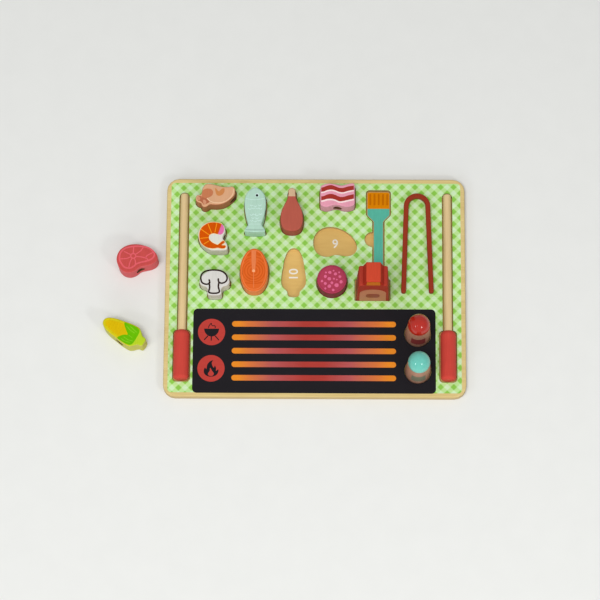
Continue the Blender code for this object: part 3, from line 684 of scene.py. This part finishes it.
def salami_art(ink):
    fat, casing = 1, 2
    wobble = 0.08
    ink.draw(grown(ink.outline, -1.7), 0.9, casing, closed=True)
    for x, y, radius in (
            (1.6, 8.9, 0.9), (-2, 7, 1.6), (-6, 6.9, 1), (3.5, 5.5, 1.6), (7.1, 7.1, 0.9), (7.9, 2.7, 1.4),
            (-6.5, 2.8, 1.5), (-2.6, 0.5, 1.8), (2, 0.5, 1), (4.9, -0.4, 0.8), (-9.8, -1.9, 1.2),
            (9.1, -2.6, 1.6), (0, -3.7, 1.4), (-6.5, -4.4, 1.5), (-2.5, -7.1, 1.8), (4.7, -6.1, 2.1),
            (-6.5, -9.5, 1), (1.3, -11, 1.3)):
        ink.fill([(x + radius * (1 + wobble * math.sin(3 * a + x)) * math.cos(a),
                   y + radius * (1 + wobble * math.cos(2 * a + y)) * math.sin(a))
                  for a in (math.pi * 2 * step / 20 for step in range(20))], fat)


def steak_art(ink):
    vein = 1
    ink.draw(spline([
        (-16.3, 4.2), (-14.1, 8.4), (-9.5, 11.2), (-4.2, 11.4), (2.3, 10.3), (9.3, 7.8), (14.3, 4.6),
        (17.2, 0.8), (18, -2.7), (16.5, -5.5), (13.4, -7.2), (9, -7.7), (3.1, -7.2), (-2.2, -7.4),
        (-5.4, -8.9), (-8.9, -9.6), (-12, -8.7), (-14.8, -6.4), (-16.4, -2.1),
        (-16.9, 1.2)], LINE_STEPS), 1.6, vein, closed=True)
    ink.draw(circle(2.5, 28, (-2.8, 1.5)), 1.4, vein, 1, closed=True)
    ink.draw_all([
        [(-2.1, 3.9), (-1.2, 6.6), (0.3, 10.4)], [(-4.5, 3.3), (-7, 5.6), (-10, 8.6)],
        [(-5.4, 1.4), (-10, 1), (-15.6, 2.4)], [(-4.8, -0.4), (-8, -4.2), (-10.6, -8.8)],
        [(-2.4, -1), (-2.4, -4), (-3.2, -7.8)], [(-0.4, 0.2), (4.5, -2), (9.2, -5), (9.8, -7.4)],
        [(8.6, -4.7), (10.4, -2.4), (16.8, -1.2)], [(-0.2, 2.3), (5.5, 4.2), (9.6, 7.2)]], 1.15, vein, 2)


def corn_art(ink):
    gold, leaf, vein, kernel = range(1, 5)
    ink.fill([point for point in grown(ink.outline, -2.9) if point.y > -8], gold)
    ink.fill(spline([
        (8.2, 3.9), (9, 0.3), (9.9, -7), (9.5, -11.3), (7.7, -13.6), (4.4, -14.2), (-1.2, -14.3),
        (-5, -14.1), (-7.7, -13.3), (-9.5, -11.1), (-10, -6), (-9.5, -0.6), (-8.7, 2.5), (-4.9, 0.4),
        (-2.4, -2.4), (-0.9, -5), (2.2, -1.5), (5.4, 2.2)], 3), leaf, 1)
    ink.draw_all([
        [(6.1, 0.2), (4.2, -4.8), (3.7, -10.3)], [(7.4, -3.4), (6.5, -7.4), (5.4, -11.6)],
        [(-4.8, -2.9), (-5.3, -7.5), (-4.2, -12.6)], [(-7.6, -1.4), (-7.9, -6.2), (-6.8, -10.6)],
        [(-1.1, -6.2), (-1.5, -10.5)]], 0.5, vein, 2)
    for x in (-6.4, -3.2, 0, 3.2, 6.4):
        for y in (18.4, 15.4, 12.4, 9.4, 6.4, 3.4):
            if abs(x) < 8.4 - abs(y - 4) * 0.36 and y > 1.4 + 0.5 * abs(x):
                ink.draw([(x - 0.9, y), (x, y - 0.5), (x + 0.9, y)], 0.3, kernel, 0.5)


# Name, picture, colours of face and sides, and inks in the order in which the picture takes them; the sides'
# colours are partly their own paint and partly painted light and shade
FOODS = (
    ("pork_chop", pork_chop_art, (224, 172, 132), (186, 116, 82), {
        "muscle": (202, 126, 86), "knob_highlight": (214, 150, 116), "eye": (212, 140, 82), "brown": (184, 108, 76),
        "fat": (244, 204, 164)}),
    ("fish", fish_art, (184, 220, 201), (195, 236, 219), {
        "eye": (28, 36, 36), "halo": (212, 238, 230), "scale": (206, 238, 226)}),
    ("drumstick", None, (186, 94, 78), (169, 84, 70), {}),
    ("bacon", bacon_art, (236, 162, 182), (233, 165, 188), {"lean": (168, 55, 46), "fat": (255, 226, 226)}),
    ("shrimp", shrimp_art, (228, 226, 216), (220, 214, 202), {
        "flesh": (216, 86, 6), "line": (250, 150, 28), "tail": (234, 116, 176), "edge": (250, 224, 160)}),
    ("mushroom", mushroom_art, (222, 220, 214), (222, 214, 204), {"line": (50, 33, 30)}),
    ("salmon_steak", salmon_art, (232, 108, 44), (252, 146, 88), {
        "ring": (218, 94, 30), "band": (238, 132, 80), "bone": (255, 180, 130), "rim": (240, 126, 66)}),
    ("salami", salami_art, (180, 66, 91), (134, 48, 63), {"fat": (228, 110, 148), "casing": (170, 58, 84)}),
    ("beef_steak", steak_art, (205, 82, 79), (226, 100, 104), {"vein": (232, 100, 108)}),
    ("corn_cob", corn_art, (218, 204, 28), (206, 204, 96), {
        "gold": (226, 190, 10), "leaf": (108, 192, 6), "vein": (150, 216, 46), "kernel": (216, 178, 8)}))


def make_foods():
    # The holes' wood is painted dark: painted shade inside the holes
    hole_shade_wood = wood("hole_shade_wood", (112, 80, 52), (84, 58, 38), (400, 400, 60), shift=90.0)
    for food in FOODS:
        make_food(*food, hole_shade_wood)


# Tray

PRINT_RISE = 0.02
PRINT_DEPTH = 0.28
PRINT_MARGIN = 0.32
PRINT_CORNER = 3.8
WIDEST_WELL = 100


def mesh_loops(node, level):
    """Closed outlines, in millimetres, of the flat faces of a CAD node at one height in metres."""
    merge, flatness = 0.01 * MM, 0.02 * MM
    shape = bmesh.new()
    shape.from_mesh(nodes[node].data)
    bmesh.ops.remove_doubles(shape, verts=shape.verts, dist=merge)
    others = [f for f in shape.faces if any(abs(v.co.z - level) > flatness for v in f.verts)]
    bmesh.ops.delete(shape, geom=others, context="FACES")
    rims = [edge.link_loops[0] for edge in shape.edges if edge.is_boundary]
    following = {loop.vert: loop.link_loop_next.vert for loop in rims}
    loops = []
    while following:
        vert = next(iter(following))
        loop = []
        while vert in following:
            loop.append(vert.co.xy / MM)
            vert = following.pop(vert)
        loops.append(loop)
    shape.free()
    return loops


def curve_mesh(curve):
    """Mesh of a curve or of a text."""
    source = linked(curve.name, curve)
    data = bpy.data.meshes.new_from_object(source.evaluated_get(bpy.context.evaluated_depsgraph_get()))
    bpy.data.objects.remove(source)
    return data


def sheet(outlines, low, high, side_material=0):
    """Flat sheet from an outer outline and the outlines of its holes."""
    curve = bpy.data.curves.new("sheet", "CURVE")
    curve.dimensions = "2D"
    curve.fill_mode = "BOTH"
    curve.extrude = (high - low) / 2
    for outline in outlines:
        line = curve.splines.new("POLY")
        line.points.add(len(outline) - 1)
        for target, point in zip(line.points, outline):
            target.co = (point.x, point.y, 0, 1)
        line.use_cyclic_u = True
    data = curve_mesh(curve)
    data.transform(Matrix.Translation((0, 0, (low + high) / 2)))
    shape = Shape()
    shape.mesh.from_mesh(data)
    for face in shape.mesh.faces:
        face.smooth = False
        face.normal_update()
        face.material_index = 0 if abs(face.normal.z) > 0.5 else side_material
    return shape


def shaker_holes(margin):
    """Circles round the two shakers."""
    spots = [box_mm(name)[2:] for name in ("red_shaker_body", "teal_shaker_body")]
    return [circle(half.x + margin, centre=centre.xy) for centre, half in spots]


def gingham_look():
    """Green check: two sets of translucent stripes across each other, at 45 degrees."""
    look = Look("gingham_print", specular=0.15)
    stretch, shift, blur = 1.006, 0.16, 0.10
    root = math.sqrt(0.5)
    along = look.y * stretch - shift * MM
    stripes = []
    for across, pitch, start in ((look.x * root + along * root, 9.22, 6.37),
                                 (look.x * root - along * root, 9.10, 5.82)):
        phase = across.math("MULTIPLY_ADD", 1 / (pitch * MM), 0.5 - start / pitch)
        stripes.append((phase.math("FRACT") - 0.5).abs().below(0.25, blur))
    weave = look.noise((900, 900, 900))
    pale = look.mix(weave.above(0.5, 0.5), rgb(208, 240, 190), rgb(217, 244, 201))
    once, twice = rgb(194, 235, 154), rgb(144, 206, 80)
    colour = look.mix(stripes[1], look.mix(stripes[0], pale, once), look.mix(stripes[0], once, twice))
    return painted(look, colour, 0.48, GRAIN_X)


def glow_look():
    """Bars that fade from orange at their ends through rose to red in the middle."""
    look = Look("glow_print", specular=0.15)
    low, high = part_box("grill_bar_1")
    along = (look.x - low.x).math("DIVIDE", high.x - low.x)
    orange, rust, rose, red = rgb(238, 142, 38), rgb(222, 122, 58), rgb(184, 88, 88), rgb(178, 62, 54)
    stops = [(0, orange), (0.04, orange), (0.1, rust), (0.25, rose), (0.44, red), (0.56, red), (0.72, rose),
             (0.89, rust), (0.96, orange), (1, orange)]
    return painted(look, look.ramp(along, stops), 0.4, GRAIN_X, 0.02)


def kettle_icon(ink, paint):
    """A small kettle grill with a flame over it."""
    bowl_rim, layer = 3.4, 3
    ink.fill(arc((0, bowl_rim), 7.4, 8.0, 180, 180, 20), paint, layer)
    for leg in ([(-3.8, -4.2), (-7, -7.8)], [(-0.2, -4.4), (-0.2, -8.4)], [(3.8, -4.2), (7.2, -8)]):
        ink.draw(leg, 1.1, paint, layer)
    flame = [(-3, 4.2), (-2.6, 6.2), (-0.5, 9), (-0.2, 7.4), (1.2, 6.2), (2.6, 6.6), (3.6, 5.4), (3.4, 4.2)]
    ink.draw(spline(flame, 5, closed=False), 0.8, paint, layer + 1)


def flame_icon(ink, paint):
    """A small flame with a brighter heart in the badge's own paint."""
    ink.fill(spline([
        (2, 8.3), (0.8, 6.2), (1.1, 3.4), (2.7, 0.6), (3.9, 2.7), (5.1, -0.1), (4.9, -2.6), (7.2, -1.1),
        (7.3, -3.6), (5.9, -6.3), (3.1, -8), (0, -8.4), (-3.1, -8), (-6.2, -5.9), (-7.1, -3.2),
        (-6.8, -0.8), (-5.8, 0.8), (-4.6, -0.8), (-4.1, 1.6), (-3.6, 4),
        (-1.4, 6.8)], LINE_STEPS), paint, 3)
    ink.fill(spline([
        (-0.9, 0.7), (1.1, -2.4), (2.9, -5.1), (2.1, -7.2), (-0.3, -7.9), (-2.7, -6.7), (-2.7, -4.7),
        (-1.2, -2.6)], LINE_STEPS), 0, 5)


def number(name, words, x, y, turn):
    """A plain number on the floor of a well."""
    size = 12.5
    curve = bpy.data.curves.new(name, "FONT")
    curve.body = words
    curve.size = size * MM
    curve.align_x = "CENTER"
    curve.align_y = "CENTER"
    curve.offset = curve.size * 0.014
    data = curve_mesh(curve)
    data.materials.clear()
    data.materials.append(plain_paint("number_white", (246, 240, 226), 0.45))
    obj = linked(name, data)
    obj.location = Vector((x, y, box_mm("base_panel")[1].z + 0.03)) * MM
    obj.rotation_euler = (0, 0, math.radians(turn))
    placed(obj, "tray", "birch_board")


def make_tray():
    # The dark colour given for the wells' walls is painted shade
    rim_wood = wood("rim_wood", (222, 202, 142), (198, 172, 110), (34, 700, 700),
                    end=(196, 172, 122), wall_shade=(84, 58, 34))
    floor_wood = wood("well_floor_wood", (223, 186, 112), (212, 173, 100), (60, 520, 520),
                      end=(192, 168, 118), shift=20.0)
    for node, made in (("top_panel", rim_wood), ("base_panel", floor_wood)):
        nodes[node].data.materials.clear()
        nodes[node].data.materials.append(made)
    black = plain_paint("grill_black", (33, 31, 35), 0.5, GRAIN_X, specular=0.1)
    red = plain_paint("badge_red", (194, 66, 58), 0.5, GRAIN_X, specular=0.1)

    low, high = box_mm("gingham_sheet")[:2]
    x, y = high.x + PRINT_MARGIN, high.y + PRINT_MARGIN
    top = high.z + PRINT_RISE
    loops = sorted(mesh_loops("gingham_sheet", high.z * MM), key=len)
    wells = [loop for loop in loops if extent(loop)[1].x - extent(loop)[0].x < WIDEST_WELL]
    holes = wells + shaker_holes(0.5)
    shape = sheet([box_outline(-x, -y, x, y, PRINT_CORNER)] + holes, low.z - PRINT_DEPTH, top, 1)
    obj = shape.piece("gingham_print", [gingham_look(), rim_wood])
    placed(obj, "tray", "gingham_print", "gingham_sheet")

    low, high = box_mm("grill_sheet")[:2]
    more_near, more_right = 0.8, 0.6
    panel = box_outline(low.x, low.y - more_near, high.x + more_right, high.y, 4.5)
    shape = sheet([panel] + shaker_holes(0.51), top, top + 0.05)
    placed(shape.piece("grill_print", [black]), "tray", "grill_print", "grill_sheet")

    ink = Ink(top + 0.09)
    names = [f"grill_bar_{index}" for index in range(1, 6)]
    for name in names:
        low, high, _, half = box_mm(name)
        ink.fill(box_outline(low.x, low.y, high.x, high.y, half.y - 0.01), 0)
    placed(ink.piece("glow_print", [glow_look()]), "tray", "glow_print", *names)

    ink = Ink(top + 0.09)
    for name, icon in (("kettle_badge", kettle_icon), ("flame_badge", flame_icon)):
        centre, half = box_mm(name)[2:]
        ink.origin = centre.xy
        ink.fill(circle(half.x, 64), 0)
        icon(ink, 1)
    placed(ink.piece("badge_print", [red, black]), "tray", "badge_print", "kettle_badge", "flame_badge")

    number("steak_well_number", "9", 19.8, 45.7, 0)
    number("corn_well_number", "10", -21.4, 14.0, 90)


# Loose tools

def make_skewers():
    """Rods and handles turned about Z, with the handle's mouth at 0, then laid down on handle and tip."""
    rod_wood = wood("dowel_wood", (226, 200, 150), (208, 179, 128), (500, 500, 26), shift=40.0)
    red = plain_paint("handle_red", (210, 74, 63), 0.5, (900, 900, 60), specular=0.08)
    rod_tip, rod_foot, handle_foot, butt_radius = 142.2, -19.0, -50.5, 3.5
    tip_touch, handle_touch, gap = 1.4, 4.0, 0.3
    tip_curve = ((1.5, 0), (0.7, 0.4), (0.2, 1.0), (0, 1.7))
    mouth_curve = ((4.2, 0), (3.2, 0.25), (1.6, 1.2), (0.5, 2.7), (0, 4.6), (0, 5.2))
    for side in ("left", "right"):
        _, rod_high, _, rod_half = box_mm(f"skewer_{side}_rod")
        centre, half = box_mm(f"skewer_{side}_handle")[2:]
        radius, rod_radius = half.x, rod_half.x
        tilt = math.atan((radius - rod_radius) / (rod_tip - tip_touch + handle_touch))
        rod = Shape()
        tip = [(rod_radius - inset, rod_tip - fall) for inset, fall in tip_curve]
        rod.lathe([(0, rod_tip)] + tip + [(rod_radius, rod_foot), (0, rod_foot)], 40)
        mouth = [(radius - inset, -fall) for inset, fall in mouth_curve]
        butt = arc((radius - butt_radius, handle_foot + butt_radius), butt_radius, -butt_radius, 0, 90, 8)
        handle = Shape()
        handle.lathe([(0, 0)] + mouth + [(radius, handle_foot + 4.1)] + butt + [(0, handle_foot)], 56)
        y = rod_high.y - rod_tip * math.cos(tilt) - (rod_radius - tip_touch) * math.sin(tilt)
        z = box_mm("base_panel")[1].z + gap + radius * math.cos(tilt) - handle_touch * math.sin(tilt)
        for shape, made, kind, slot in (
                (rod, rod_wood, "rod", "dowel"), (handle, red, "handle", "red_paint")):
            obj = shape.piece(f"{side}_{kind}", [made], (centre.x, y, z))
            obj.rotation_euler = (-math.pi / 2 - tilt, 0, 0)
            creased(obj, 50)
            placed(obj, f"{side}_skewer", slot, f"skewer_{side}_{kind}")


def make_tongs():
    """One bent strip in two halves that meet at the top of the arch."""
    low, high, bow, _ = box_mm("tongs_bow")
    outer, strip, edge = 13.3, 4.9, 1.1
    splay = math.atan(3.0 / 90.5)
    tip_length, tip = 2.2, ((0.9, 0.94), (1.6, 0.76), (2.1, 0.45))
    middle = outer - strip / 2
    centre = Vector((bow.x, high.y - outer))
    leg = (centre.y - box_mm("tongs_left_arm")[0].y) / math.cos(splay) - tip_length
    section = box_outline(-strip / 2, low.z, strip / 2, high.z, edge)
    red = plain_paint("tongs_red", (153, 55, 33), 0.45, (900, 60, 900))
    for side_name, side in (("left", -1), ("right", 1)):
        line = arc((0, 0), side * middle, middle, 90, math.degrees(splay) - 90, 24)
        start = line[-1]
        down = Vector((side * math.sin(splay), -math.cos(splay)))
        line += [start + down * (start.y + leg) * step / 30 for step in range(1, 31)]
        points = line + [line[-1] + down * past for past, width in tip]
        shrink = [1.0] * len(line) + [width for past, width in tip]
        shape = Shape()
        rings = []
        for index, point in enumerate(points):
            before, after = points[max(index - 1, 0)], points[min(index + 1, len(points) - 1)]
            along = (after - before).normalized() if index else Vector((side, 0))
            across = Vector((-along.y, along.x)) * shrink[index]
            flat = 0.5 + shrink[index] / 2
            rings.append([shape.mesh.verts.new((*(point + across * p.x), bow.z + (p.y - bow.z) * flat))
                          for p in section])
        shape.skin(rings)
        bmesh.ops.recalc_face_normals(shape.mesh, faces=shape.mesh.faces)
        obj = shape.piece(f"tongs_{side_name}_half", [red], (centre.x, centre.y, 0))
        creased(obj, 60)
        hinge = start + centre
        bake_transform(obj)
        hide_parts(*(["tongs_bow", "tongs_left_arm"] if side < 0 else ["tongs_right_arm"]))


def make_brush():
    low, high, centre, half = box_mm("basting_brush")
    half_head, end = half.x, half.y
    head_bottom, handle_top, half_handle, corner = end - 24.6, end - 31.1, 5.0, 2.5
    print_margin, bristle_part = 0.45, 17.6
    bristle_top, bristle_foot, half_bristle = 2.1, 13.9, 0.95
    right = [(half_head, end), (half_head, head_bottom), (half_handle, handle_top), (half_handle, -end)]
    outline = rounded(mirrored(right), [corner] * 8)
    shape = Shape()
    shape.prism(outline, low.z, high.z, 0.5)
    shape.patch(grown(outline, -print_margin), high.z + INK_RISE, 1)
    for x in (-8.2, -3.9, 0.3, 4.6, 8.8):
        bristle = box_outline(x - half_bristle, end - bristle_foot, x + half_bristle, end - bristle_top, 0.8)
        shape.patch(bristle, high.z + 2 * INK_RISE, 2)
    look = Look("brush_face", specular=0.05)
    on_bristles = look.y.above((end - bristle_part) * MM, 0.15 * MM)
    colour = look.mix(on_bristles, rgb(90, 184, 161), rgb(222, 133, 2))
    obj = shape.piece("brush_body", [
        wood("brush_wood", (206, 176, 122), (180, 146, 94), (700, 40, 700), shift=60.0),
        painted(look, colour, 0.34),
        plain_paint("brush_bristle", (198, 110, 0), 0.34, specular=0.05)], (centre.x, centre.y, 0))
    creased(obj)
    placed(obj, "brush", "brush_paint", "basting_brush")


def make_bottle():
    """The block is drawn lying on its back, with its height along Y, and then stood up."""
    low, high, centre, half = box_mm("sauce_bottle")
    height = high.z - low.z
    shoulder = height - 14.0
    right = [(half.x, 0), (14.1, shoulder), (10.3, shoulder), (7.0, height)]
    radii = [2.5, 2.5, 0.6, 1.2]
    outline = rounded(mirrored(right), radii + radii[::-1])
    shape = Shape()
    shape.prism(outline, -half.y, half.y, 1.0)
    front = half.y + INK_RISE
    cap_foot, cap_top = shoulder + 0.4, height - 1.1
    shape.patch(mirrored([(6.8, cap_foot), (6.2, cap_top)]), front, 1)
    label_foot, label_shoulder = 1.6, 34.0
    label = [(-13.2, label_foot), (13.2, label_foot)] + arc((0, label_shoulder), 13.0, 15.0, 0, 180, 20)
    shape.patch(label, front, 2)
    shape.patch(box_outline(-6.7, 17.0, 6.7, 32.0, 4.5), front + 3 * LAYER, 3)
    # The block is one red all round; here its colour is lighter on faces that point up, darker on upright
    # sides, and differs between cap and body, as painted light and shade
    look = Look("bottle_red_painted_shade", specular=0.02)
    on_cap = look.z.above((shoulder + 1.5) * MM, 0.4 * MM)
    lit_flats = look.mix(on_cap, rgb(180, 63, 48), rgb(206, 74, 50))
    sides = look.mix(on_cap, rgb(172, 57, 45), rgb(176, 48, 34))
    obj = shape.piece("bottle_block", [
        painted(look, look.mix(look.up.above(0.6, 0.3), sides, lit_flats)),
        plain_paint("bottle_cap_print", (214, 116, 26), 0.34),
        plain_paint("bottle_label_print", (204, 134, 100), 0.4, specular=0.04),
        plain_paint("bottle_mark_print", (160, 72, 58), 0.38, specular=0.04)
        ], (centre.x, centre.y, low.z))
    obj.data.transform(Matrix.Rotation(math.pi / 2, 4, "X"))
    creased(obj)
    placed(obj, "bottle", "bottle_paint", "sauce_bottle")


def make_shaker(colour, dome_rgb, label_rgb, body_wood):
    name = colour + "_shaker"
    low, high, centre, half = box_mm(name + "_body")
    radius, tall = half.x, high.z - low.z
    neck, gap = 10.8, 0.3
    peg_radius, peg_foot = 4.0, -9.9
    label_foot, label_height = 11.5, 16.5

    def wall(z):
        return radius + (neck - radius) * z / tall
    shape = Shape()
    shape.lathe([(0, tall), (neck - 0.9, tall), (neck - 0.25, tall - 0.25), (wall(tall - 0.9), tall - 0.9),
                 (wall(1.5), 1.5), (radius - 0.3, 0.4), (radius - 1.0, 0), (0, 0)], 64)
    rings = []
    for z in [label_foot + label_height * step / 8 for step in range(9)]:
        reach = wall(z) + INK_RISE
        rings.append(shape.ring(arc((0, 0), reach, reach, -126, 72, 20), z))
    for under, over in zip(rings, rings[1:]):
        for corners in zip(under, under[1:], over[1:], over):
            shape.face(corners, 1)
    paints = [body_wood, plain_paint(f"{colour}_label", label_rgb, 0.4)]
    obj = shape.piece(name + "_base", paints, (centre.x, centre.y, low.z))
    creased(obj)
    placed(obj, name, "shaker_wood", name + "_body")

    dome = box_mm(name + "_cap")[1].z - (high.z + gap)
    shape = Shape()
    shape.lathe(arc((0, 0), dome, dome, 90, -90, 20)
                + [(dome - 0.35, -0.28), (peg_radius, -0.28), (peg_radius, peg_foot), (0, peg_foot)], 64)
    look = Look(f"{colour}_gloss")
    for socket, value in (("Coat Weight", 0.45), ("Coat Roughness", 0.12), ("Coat IOR", 2.0)):
        look.shader.inputs[socket].default_value = value
    gloss = painted(look, rgb(*dome_rgb), 0.3, (500, 500, 500), 0.01)
    obj = shape.piece(f"{colour}_dome", [gloss], (centre.x, centre.y, high.z + gap))
    creased(obj, 50)
    placed(obj, name, f"{colour}_cap_paint", name + "_cap")


def make_shakers():
    body_wood = wood("shaker_wood", (176, 132, 110), (154, 112, 92), (500, 500, 34), 0.42, shift=80.0)
    make_shaker("red", (184, 35, 20), (138, 60, 58), body_wood)
    make_shaker("teal", (108, 202, 186), (124, 124, 104), body_wood)


# Stage, in metres and watts

LAMPS = (("key", (-0.34, -0.68, 3.0), 1.1, 52.0, False),
         ("front", (-0.2, -3.0, 0.84), 2.0, 20.0, False),
         ("left", (-0.87, -0.66, 1.02), 0.2, 1.5, True),
         ("right", (0.71, -0.8, 1.05), 0.24, 3.0, True))
SKY_STRENGTH = 0.38


def make_stage():
    data = bpy.data.meshes.new("floor")
    data.from_pydata([(-3, -3, 0), (3, -3, 0), (3, 3, 0), (-3, 3, 0)], [], [(0, 1, 2, 3)])
    look = Look("floor_card", specular=0.2)
    colour = look.mix(look.noise((40, 40, 40)), rgb(223, 224, 221), rgb(227, 228, 225))
    data.materials.append(look.finish(colour, 0.85))
    linked("floor", data)

    world = bpy.data.worlds.new("studio")
    world.use_nodes = True
    sky = world.node_tree.nodes["Background"]
    sky.inputs["Color"].default_value = (1.0, 1.0, 1.0, 1.0)
    sky.inputs["Strength"].default_value = SKY_STRENGTH
    scene.world = world
    for name, place, size, power, seen_in_gloss in LAMPS:
        light = bpy.data.lights.new(name, "AREA")
        light.size = size
        light.energy = power
        lamp = linked(name, light)
        lamp.location = place
        lamp.visible_glossy = seen_in_gloss
        lamp.rotation_euler = (-Vector(place)).to_track_quat("-Z", "Y").to_euler()
    scene.view_settings.view_transform = "Standard"


def make_camera():
    """The photograph's view: nearly straight down, tilted a little towards the viewer."""
    tilt, yaw, roll = math.radians(14.3), math.radians(3.78), math.radians(0.45)
    aim = Vector((-15.03, -13.52, 10.0)) * MM
    distance, focal_pixels, photo_width = 2.4, 2407, 600
    back = Vector((math.sin(yaw) * math.sin(tilt), -math.cos(yaw) * math.sin(tilt), math.cos(tilt)))
    right = Vector((0, 1, 0)).cross(back).normalized()
    up = back.cross(right)
    right, up = right * math.cos(roll) + up * math.sin(roll), up * math.cos(roll) - right * math.sin(roll)
    data = bpy.data.cameras.new("camera")
    data.lens = focal_pixels / photo_width * data.sensor_width
    data.clip_end = 20.0
    camera = linked("camera", data)
    axes = Matrix((right, up, back)).transposed().to_4x4()
    camera.matrix_world = Matrix.Translation(aim + back * distance) @ axes
    scene.camera = camera


make_tray()
make_skewers()
make_tongs()
make_brush()
make_bottle()
make_shakers()
make_foods()
make_stage()
make_camera()
